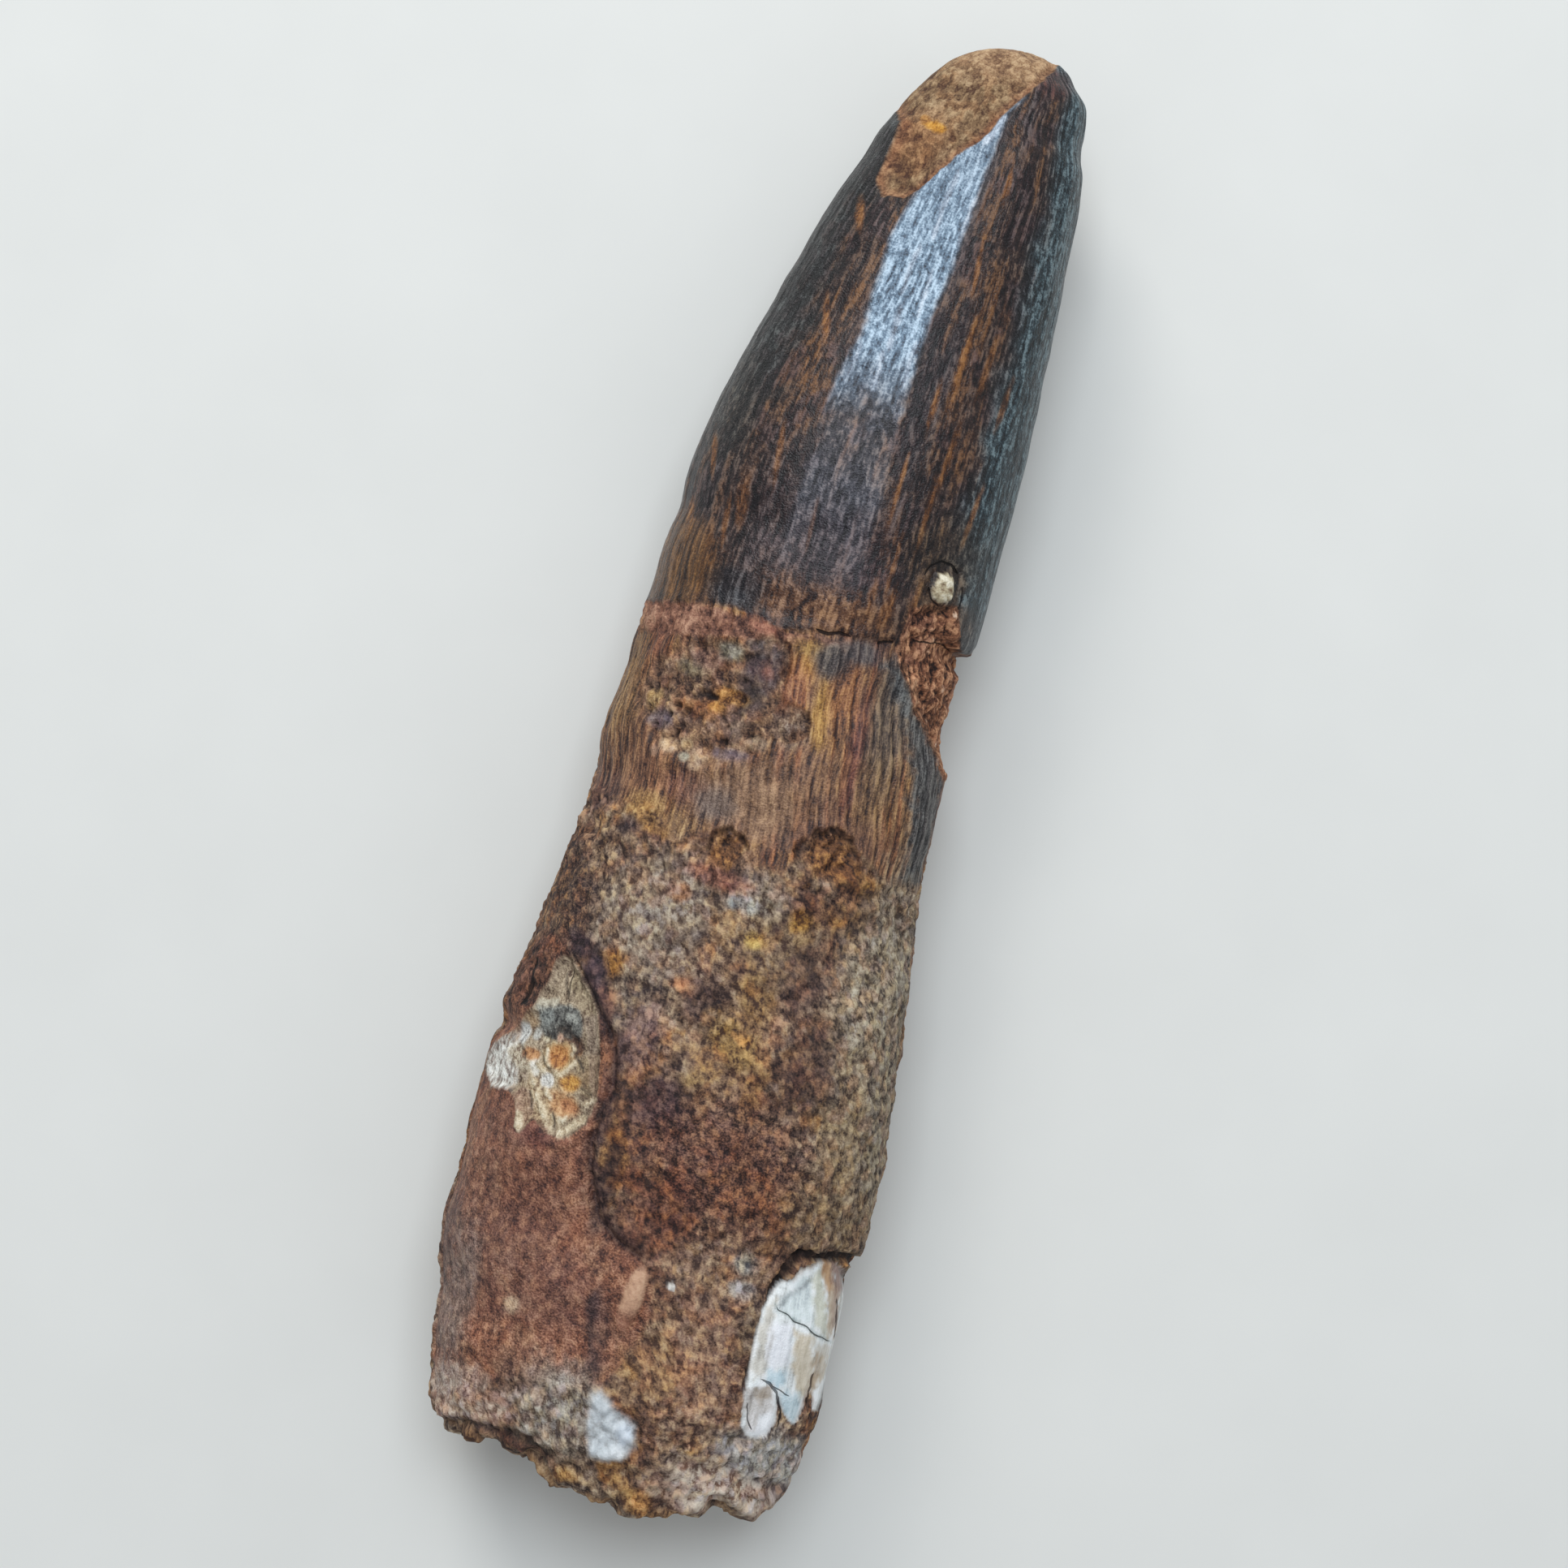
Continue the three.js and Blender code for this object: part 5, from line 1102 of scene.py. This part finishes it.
# ---- leaf-shaped break
lay(L, (148, 130, 108), (196, 178, 152), (76, 58, 46), np.clip(0.18 * i08 + 0.34 * i05 + 0.3 * fine_l + 0.45 * (dwho - 0.5) * 2 - 0.4 * dgap + 0.12, -1.1, 1.1), 0.4, 1.3, 0.6)
LEAF_AREAS = [
    ([(704, 1190), (714, 1200), (720, 1226), (706, 1230), (698, 1214)], 0.6, (138, 122, 94), (172, 156, 124), (90, 74, 58)),
    ([(704, 1218), (726, 1218), (735, 1246), (722, 1254), (708, 1240)], 0.8, (158, 140, 114), (190, 172, 144), (104, 84, 66)),
    ([(662, 1228), (684, 1228), (684, 1244), (668, 1248), (658, 1242)], 0.85, (184, 176, 156), (208, 202, 184), (126, 116, 102)),
    ([(660, 1246), (674, 1240), (686, 1236), (700, 1236), (711, 1244), (715, 1262), (712, 1280), (698, 1284), (680, 1282), (666, 1278), (657, 1264)], 0.9, (104, 106, 103), (158, 161, 155), (36, 37, 39)),
    ([(680, 1262), (700, 1262), (702, 1276), (690, 1284), (680, 1276)], 0.75, (66, 54, 46), (110, 90, 72), (30, 23, 22)),
    ([(665, 1268), (674, 1268), (676, 1282), (666, 1282)], 0.8, (54, 52, 50), (100, 98, 90), (26, 24, 26)),
    ([(716, 1250), (734, 1250), (735, 1300), (720, 1296)], 0.7, (138, 120, 104), (174, 156, 138), (86, 68, 58)),
    ([(692, 1280), (712, 1280), (714, 1300), (698, 1304), (690, 1292)], 0.85, (122, 84, 56), (160, 118, 80), (70, 44, 32)),
    ([(706, 1300), (736, 1300), (736, 1352), (714, 1352), (706, 1330)], 0.75, (152, 132, 102), (184, 164, 132), (98, 78, 60)),
    ([(716, 1316), (726, 1314), (726, 1330), (718, 1334)], 0.7, (104, 80, 56), (140, 112, 84), (62, 44, 34)),
    ([(636, 1322), (652, 1318), (664, 1336), (662, 1356), (640, 1352)], 0.7, (156, 136, 120), (184, 166, 150), (104, 82, 72)),
    ([(640, 1250), (652, 1244), (656, 1258), (648, 1266), (640, 1262)], 0.8, (168, 138, 104), (196, 168, 136), (108, 80, 62)),
    ([(620, 1262), (634, 1256), (636, 1276), (624, 1278)], 0.8, (132, 106, 88), (168, 142, 120), (76, 54, 46)),
    ([(660, 1238), (676, 1238), (680, 1254), (668, 1264), (658, 1256)], 0.6, (140, 144, 140), (176, 180, 174), (84, 86, 84)),
    ([(628, 1344), (644, 1342), (652, 1362), (648, 1390), (638, 1386), (630, 1372)], 0.65, (142, 108, 92), (182, 148, 130), (86, 58, 50)),
    ([(656, 1372), (668, 1376), (672, 1398), (660, 1394)], 0.6, (128, 90, 74), (168, 128, 106), (74, 46, 40)),
    ([(722, 1300), (736, 1296), (737, 1350), (726, 1366)], 0.6, (128, 104, 88), (166, 142, 122), (80, 58, 48)),
    ([(700, 1276), (712, 1276), (716, 1292), (706, 1298)], 0.7, (92, 66, 52), (134, 102, 78), (50, 32, 28)),
    ([(712, 1318), (720, 1324), (722, 1342), (712, 1340)], 0.6, (118, 92, 64), (156, 128, 96), (70, 50, 38))]
for pts, st_, to_, li_, da_ in LEAF_AREAS:
    lay(patch(pts, 0.14, 0.14) * L * st_, to_, li_, da_)
flaky = L * dab(615, 1308, 1.15, 2.1, 10, 0.35, 0.3)
flakes = step(-0.42, 0.04, even(fbm(P / (0.34, 0.5, 0.34), 2, 133)))
lay(flaky * 0.9, (160, 148, 140), (196, 186, 178), (96, 80, 74))
lay(flaky * flakes * 0.95, (230, 229, 220), (247, 247, 243), (186, 180, 172))
for px_, py_, rx_, ry_, turn_, to_, li_, da_ in [
    (668, 1350, 2.0, 2.6, -20, (188, 166, 132), (220, 204, 174), (116, 90, 68)),
    (640, 1300, 1.3, 1.0, 0, (190, 176, 152), (220, 210, 190), (120, 98, 80)),
    (683, 1300, 1.12, 1.10, 0, (190, 160, 112), (218, 194, 150), (118, 84, 56)),
    (683, 1299, 0.84, 0.82, 0, (184, 124, 70), (212, 158, 98), (128, 78, 46)),
    (697, 1333, 0.82, 0.70, 20, (190, 136, 62), (218, 172, 94), (126, 80, 42)),
    (689, 1360, 1.30, 0.95, -20, (184, 138, 94), (212, 170, 126), (116, 74, 50)),
    (696, 1362, 0.8, 0.5, -20, (178, 122, 82), (204, 152, 108), (112, 70, 46)),
    (648, 1296, 0.66, 0.5, 0, (184, 132, 86), (212, 166, 120), (124, 80, 54)),
    (668, 1329, 0.50, 0.58, 30, (222, 220, 214), (240, 238, 234), (160, 156, 150)),
    (654, 1314, 0.36, 0.62, 24, (220, 214, 200), (236, 232, 222), (150, 140, 126)),
    (638, 1270, 0.42, 0.74, 8, (214, 214, 210), (234, 234, 230), (140, 138, 134)),
    (654, 1272, 0.35, 0.45, 0, (190, 188, 180), (214, 212, 206), (138, 132, 124)),
    (668, 1279, 0.4, 0.2, 0, (208, 194, 164), (226, 216, 190), (150, 130, 104)),
    (686, 1278, 0.25, 0.3, 0, (196, 160, 136), (214, 182, 160), (140, 104, 86))]:
    lay(dab(px_, py_, rx_, ry_, turn_, 0.3, 0.3) * L * 0.95, to_, li_, da_)
lay(patch([(632, 1340), (646, 1338), (653, 1360), (649, 1384), (640, 1382), (633, 1366)], 0.16, 0.3) * L * 0.6, (142, 106, 90), (184, 150, 130), (82, 54, 48))
lay(patch([(656, 1376), (666, 1380), (670, 1396), (660, 1394)], 0.12, 0.3) * L * 0.6, (126, 88, 72), (168, 128, 106), (72, 46, 40))
lay(struts * 0.95, (208, 192, 162), (230, 220, 198), (158, 136, 108), rough=0.5)
lay(L * (1 - step(0.0, 0.20, SD_L)) * 0.4, (104, 76, 60), (138, 106, 84), (64, 44, 36))
for a_ in [([(658, 1204), (660, 1212)], 0.16), ([(644, 1228), (646, 1238)], 0.16), ([(655, 1220), (659, 1228)], 0.13), ([(690, 1324), (697, 1324)], 0.05),
           ([(666, 1266), (670, 1278)], 0.10), ([(682, 1264), (700, 1264)], 0.10), ([(690, 1268), (704, 1274), (711, 1284)], 0.12), ([(676, 1270), (680, 1282)], 0.10),
           ([(694, 1240), (690, 1250), (694, 1260)], 0.06), ([(664, 1296), (667, 1310), (676, 1320)], 0.07), ([(702, 1294), (710, 1306), (716, 1318)], 0.09),
           ([(682, 1346), (690, 1350), (698, 1349)], 0.06), ([(646, 1340), (650, 1352), (650, 1366)], 0.07), ([(676, 1366), (680, 1384), (678, 1394)], 0.07),
           ([(636, 1284), (640, 1294), (640, 1304)], 0.06), ([(712, 1340), (722, 1346), (728, 1350)], 0.06), ([(694, 1196), (693, 1210), (697, 1226)], 0.05)]:
    lay(stroke(*a_, 0.3, 0.10, 0.2) * 0.95, (26, 19, 18), (48, 36, 32), (14, 10, 11))

# ------------------------------------------------------------------ the mesh, in strips that share their edge points
G3 = Q.reshape(NR, AROUND, 3)
NN = grid_normals(G3)
flip = np.sign((NN.reshape(-1, 3) * N).sum(1))
NN = (NN.reshape(-1, 3) * np.where(flip == 0, 1, flip)[:, None]).reshape(NR, AROUND, 3)
V_RUN = np.concatenate([[0], np.cumsum(np.linalg.norm(np.diff(G3, axis=0), axis=2).mean(1))])
V_OF = 1 - V_RUN / V_RUN[-1]
WIDE = AROUND // PIECES


def put(mesh, name, values, idx):
    values = np.asarray(values)[idx]
    if values.ndim == 1:
        a = mesh.attributes.new(name, "FLOAT", "POINT")
        a.data.foreach_set("value", values.astype(np.float32))
    else:
        a = mesh.attributes.new(name, "FLOAT_VECTOR", "POINT")
        a.data.foreach_set("vector", values.astype(np.float32).ravel())


def strip_of(s, material):
    """One strip along the tooth: columns s * WIDE to (s + 1) * WIDE, both ends included."""
    cols = (s * WIDE + np.arange(WIDE + 1)) % AROUND
    n_c = WIDE + 1
    mid_rows = np.arange(1, NR - 1)
    idx = np.concatenate([[cols[n_c // 2]], (mid_rows[:, None] * AROUND + cols[None]).ravel(), [(NR - 1) * AROUND + cols[n_c // 2]]])
    co = Q[idx].copy()
    co[0], co[-1] = Q[:AROUND].mean(0), Q[-AROUND:].mean(0)
    nr = NN.reshape(-1, 3)[idx].copy()
    nr[0], nr[-1] = (0, 1, 0), (0, -1, 0)
    u = np.arange(n_c) / WIDE
    vu = np.concatenate([[0.5], np.tile(u, len(mid_rows)), [0.5]])
    vv = np.concatenate([[1], np.repeat(V_OF[1:-1], n_c), [0]])
    base = 1 + np.arange(len(mid_rows) - 1)[:, None] * n_c + np.arange(WIDE)[None]
    quads = np.stack([base, base + n_c, base + n_c + 1, base + 1], 2).reshape(-1, 4)
    top = np.stack([np.zeros(WIDE, int), 1 + np.arange(WIDE), 2 + np.arange(WIDE)], 1)
    low0 = 1 + (len(mid_rows) - 1) * n_c
    end = np.stack([low0 + np.arange(WIDE), np.full(WIDE, len(co) - 1), low0 + 1 + np.arange(WIDE)], 1)
    # all faces turned outwards together
    a_, b_, c_ = co[quads[:, 0]], co[quads[:, 1]], co[quads[:, 2]]
    out = (np.cross(b_ - a_, c_ - a_) * nr[quads[:, 0]]).sum()
    if out < 0:
        quads, top, end = quads[:, ::-1], top[:, ::-1], end[:, ::-1]
    loops = np.concatenate([quads.ravel(), top.ravel(), end.ravel()])
    sizes = np.concatenate([np.full(len(quads), 4), np.full(len(top) + len(end), 3)])
    mesh = bpy.data.meshes.new(f"tooth_surface_{s + 1}")
    mesh.vertices.add(len(co))
    mesh.vertices.foreach_set("co", (co / 1000).astype(np.float32).ravel())
    mesh.loops.add(len(loops))
    mesh.loops.foreach_set("vertex_index", loops.astype(np.int32))
    mesh.polygons.add(len(sizes))
    mesh.polygons.foreach_set("loop_start", np.concatenate([[0], np.cumsum(sizes)[:-1]]).astype(np.int32))
    mesh.polygons.foreach_set("use_smooth", np.ones(len(sizes), bool))
    layer = mesh.uv_layers.new(name="OFBake")
    layer.data.foreach_set("uv", np.stack([vu[loops], vv[loops]], 1).astype(np.float32).ravel())
    mesh.update(calc_edges=True)
    mesh.validate()
    mesh.normals_split_custom_set_from_vertices(nr.tolist())
    for name, values in (("tone", TONE), ("lite", LITE), ("dark", DARK), ("cyl", CYL), ("place", P), ("tex", TEX), ("ks", KS), ("kg", KG),
                         ("ro", ROUGH), ("crack_a", CH_D[:3].T), ("crack_b", CH_D[3:].T), ("crack_wa", CH_W[:3].T), ("crack_wb", CH_W[3:].T)):
        put(mesh, name, values, idx)
    mesh.materials.append(material)
    obj = bpy.data.objects.new(f"tooth_surface_{s + 1}", mesh)
    bpy.context.scene.collection.objects.link(obj)
    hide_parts("tooth")
    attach(obj, "root")
    return obj


# ------------------------------------------------------------------ material
class Nodes:
    """A short way of writing a node tree."""

    def __init__(self, name):
        self.mat = bpy.data.materials.new(name)
        self.mat.use_nodes = True
        self.t = self.mat.node_tree
        self.t.nodes.clear()

    def new(self, kind, **props):
        n = self.t.nodes.new(kind)
        for k, v in props.items():
            setattr(n, k, v)
        return n

    def plug(self, socket, value):
        if isinstance(value, bpy.types.NodeSocket):
            self.t.links.new(value, socket)
        elif value is not None:
            if socket.type == "RGBA" and len(value) == 3:
                value = (*value, 1)
            socket.default_value = value

    def attr(self, name, out="Fac"):
        n = self.new("ShaderNodeAttribute", attribute_name=name, attribute_type="GEOMETRY")
        return n.outputs[out]

    def math(self, op, a, b=None, c=None, clamp=False):
        n = self.new("ShaderNodeMath", operation=op, use_clamp=clamp)
        for i, v in enumerate((a, b, c)):
            if v is not None:
                self.plug(n.inputs[i], v)
        return n.outputs[0]

    def vmath(self, op, a, b=None):
        n = self.new("ShaderNodeVectorMath", operation=op)
        self.plug(n.inputs[0], a)
        if b is not None:
            self.plug(n.inputs[1], b)
        return n.outputs[0]

    def edge(self, value, a, b):
        """A smooth step from 0 at a to 1 at b."""
        n = self.new("ShaderNodeMapRange", interpolation_type="SMOOTHSTEP")
        self.plug(n.inputs["Value"], value)
        lo, hi = (a, b) if a < b else (b, a)
        n.inputs["From Min"].default_value, n.inputs["From Max"].default_value = lo, hi
        n.inputs["To Min"].default_value, n.inputs["To Max"].default_value = (0, 1) if a < b else (1, 0)
        return n.outputs["Result"]

    def mix(self, fac, a, b, blend="MIX"):
        n = self.new("ShaderNodeMix", data_type="RGBA", blend_type=blend, clamp_factor=True)
        self.plug(n.inputs[0], fac)
        self.plug(n.inputs[6], a)
        self.plug(n.inputs[7], b)
        return n.outputs[2]

    def mixf(self, fac, a, b):
        n = self.new("ShaderNodeMix", data_type="FLOAT", clamp_factor=True)
        self.plug(n.inputs[0], fac)
        self.plug(n.inputs[2], a)
        self.plug(n.inputs[3], b)
        return n.outputs[0]

    def noise(self, vec, scale, detail=3, rough=0.55, distortion=0.0, out="Fac"):
        n = self.new("ShaderNodeTexNoise")
        self.plug(n.inputs["Vector"], vec)
        n.inputs["Scale"].default_value = scale
        n.inputs["Detail"].default_value = detail
        n.inputs["Roughness"].default_value = rough
        n.inputs["Distortion"].default_value = distortion
        return n.outputs[out]

    def cell(self, vec, scale, feature="F1", out="Distance", rand=1.0):
        n = self.new("ShaderNodeTexVoronoi", feature=feature)
        self.plug(n.inputs["Vector"], vec)
        n.inputs["Scale"].default_value = scale
        n.inputs["Randomness"].default_value = rand
        return n.outputs[out]

    def bump(self, height, distance, normal=None, strength=1.0):
        n = self.new("ShaderNodeBump")
        n.inputs["Strength"].default_value = strength
        n.inputs["Distance"].default_value = distance
        self.plug(n.inputs["Height"], height)
        if normal is not None:
            self.plug(n.inputs["Normal"], normal)
        return n.outputs[0]


def L3(r, g, b):
    return tuple(float(v) for v in lin(r, g, b))


def tooth_material():
    n = Nodes("fossil_tooth")
    tone, lite, dark = n.attr("tone", "Vector"), n.attr("lite", "Vector"), n.attr("dark", "Vector")
    cyl, place = n.attr("cyl", "Vector"), n.attr("place", "Vector")
    tex, ks, kg, ro = n.attr("tex"), n.attr("ks"), n.attr("kg"), n.attr("ro")
    # fine speckle, fine fibres along the tooth and soft mottling, in mm
    fleck = n.noise(place, 6.5, 2, 0.6)
    fibre = n.noise(n.vmath("MULTIPLY", cyl, (1, 1, 0.13)), 4.6, 2, 0.6)
    mott = n.noise(place, 1.6, 2, 0.6)
    v = n.math("ADD", tex, n.math("MULTIPLY", n.math("SUBTRACT", fleck, 0.5), n.math("MULTIPLY", kg, 2.4)))
    v = n.math("ADD", v, n.math("MULTIPLY", n.math("SUBTRACT", fibre, 0.5), n.math("MULTIPLY", ks, 2.4)))
    col = n.mix(n.math("MULTIPLY", v, 1.0, clamp=True), tone, lite)
    col = n.mix(n.math("MULTIPLY", v, -1.0, clamp=True), col, dark)
    # cracks, as thin as their half width says
    crack = None
    for da, wa in (("crack_a", "crack_wa"), ("crack_b", "crack_wb")):
        d, w_ = n.new("ShaderNodeSeparateXYZ"), n.new("ShaderNodeSeparateXYZ")
        n.plug(d.inputs[0], n.attr(da, "Vector"))
        n.plug(w_.inputs[0], n.attr(wa, "Vector"))
        for k in range(3):
            gap_ = n.math("SUBTRACT", w_.outputs[k], n.math("ABSOLUTE", d.outputs[k]))
            m = n.math("MULTIPLY", n.edge(gap_, -0.035, 0.03), n.edge(w_.outputs[k], 0.0, 0.025))
            crack = m if crack is None else n.math("MAXIMUM", crack, m)
    deep = n.vmath("MULTIPLY", dark, (0.36, 0.36, 0.38))
    col = n.mix(n.math("MULTIPLY", crack, 0.9), col, deep)
    rough = n.math("ADD", ro, n.math("MULTIPLY", n.math("SUBTRACT", mott, 0.5), 0.30))
    rough = n.mixf(crack, rough, 0.9)
    # bump, heights in mm
    h = n.math("MULTIPLY", fleck, n.math("MULTIPLY", kg, 0.10))
    h = n.math("ADD", h, n.math("MULTIPLY", fibre, n.math("MULTIPLY", ks, 0.035)))
    h = n.math("ADD", h, n.math("MULTIPLY", crack, -0.12))
    normal = n.bump(h, 0.001, strength=1.0)
    bsdf = n.new("ShaderNodeBsdfPrincipled")
    n.plug(bsdf.inputs["Base Color"], col)
    n.plug(bsdf.inputs["Roughness"], n.math("MINIMUM", n.math("MAXIMUM", rough, 0.18), 1.0))
    n.plug(bsdf.inputs["Normal"], normal)
    bsdf.inputs["IOR"].default_value = 1.5
    bsdf.inputs["Specular IOR Level"].default_value = 0.36
    out = n.new("ShaderNodeOutputMaterial")
    n.t.links.new(bsdf.outputs[0], out.inputs[0])
    return n.mat


stone = tooth_material()
for s in range(PIECES):
    strip_of(s, stone)

# ------------------------------------------------------------------ floor, light, camera
def floor():
    mesh = bpy.data.meshes.new("floor")
    s = 6.0
    mesh.from_pydata([(-s, -s, 0), (s, -s, 0), (s, s, 0), (-s, s, 0)], [], [(0, 1, 2, 3)])
    o = bpy.data.objects.new("floor", mesh)
    o.location.z = -0.00002
    bpy.context.scene.collection.objects.link(o)
    n = Nodes("pale_floor")
    g = n.new("ShaderNodeNewGeometry")
    cloud = n.noise(g.outputs["Position"], 60, 3)
    c = n.mix(cloud, L3(214, 214, 210), L3(222, 222, 218))
    b = n.new("ShaderNodeBsdfPrincipled")
    n.plug(b.inputs["Base Color"], c)
    b.inputs["Roughness"].default_value = 0.7
    o_ = n.new("ShaderNodeOutputMaterial")
    n.t.links.new(b.outputs[0], o_.inputs[0])
    mesh.materials.append(n.mat)


def area(name, at, aim, size, size_y, power_w, colour):
    data = bpy.data.lights.new(name, "AREA")
    data.shape = "RECTANGLE"
    data.size, data.size_y = size, size_y
    data.energy = power_w
    data.color = colour
    o = bpy.data.objects.new(name, data)
    bpy.context.scene.collection.objects.link(o)
    from mathutils import Vector
    o.location = at
    o.rotation_euler = (Vector(aim) - Vector(at)).to_track_quat("-Z", "Y").to_euler()
    return o


floor()
# the window: off the vertical towards the tip, so that its reflection lies along the crown
area("window", (-0.03, 0.235, 0.60), (0, 0, 0.012), 0.36, 0.26, 2.15, (0.86, 0.93, 1.0))
# a low lamp from the upper left, which brings out the relief
area("low_lamp", (-0.25, 0.43, 0.33), (0, -0.01, 0.01), 0.20, 0.20, 1.30, (1.0, 0.98, 0.95))
sky = bpy.data.lights.new("sky", "SUN")
sky.energy, sky.angle = 0.50, math.radians(100)
sky_lamp = bpy.data.objects.new("sky", sky)
sky_lamp.rotation_euler = (math.radians(-20), math.radians(15), 0)
bpy.context.scene.collection.objects.link(sky_lamp)
world = bpy.data.worlds.new("studio")
world.use_nodes = True
world.node_tree.nodes["Background"].inputs[0].default_value = (0.80, 0.84, 0.88, 1)
world.node_tree.nodes["Background"].inputs[1].default_value = 0.38
bpy.context.scene.world = world
bpy.context.scene.view_settings.view_transform = "Standard"

cam_data = bpy.data.cameras.new("camera")
cam_data.sensor_fit = "HORIZONTAL"
cam_data.sensor_width = 36
cam_data.lens = 36 * CAM_D / (PX * FRAME)
cam_data.clip_start, cam_data.clip_end = 0.01, 10
cam = bpy.data.objects.new("camera", cam_data)
cam.location = (CAM_X / 1000, CAM_Y / 1000, (SIL_Z + CAM_D) / 1000)
cam.rotation_euler = (0, 0, ROLL)
bpy.context.scene.collection.objects.link(cam)
bpy.context.scene.camera = cam
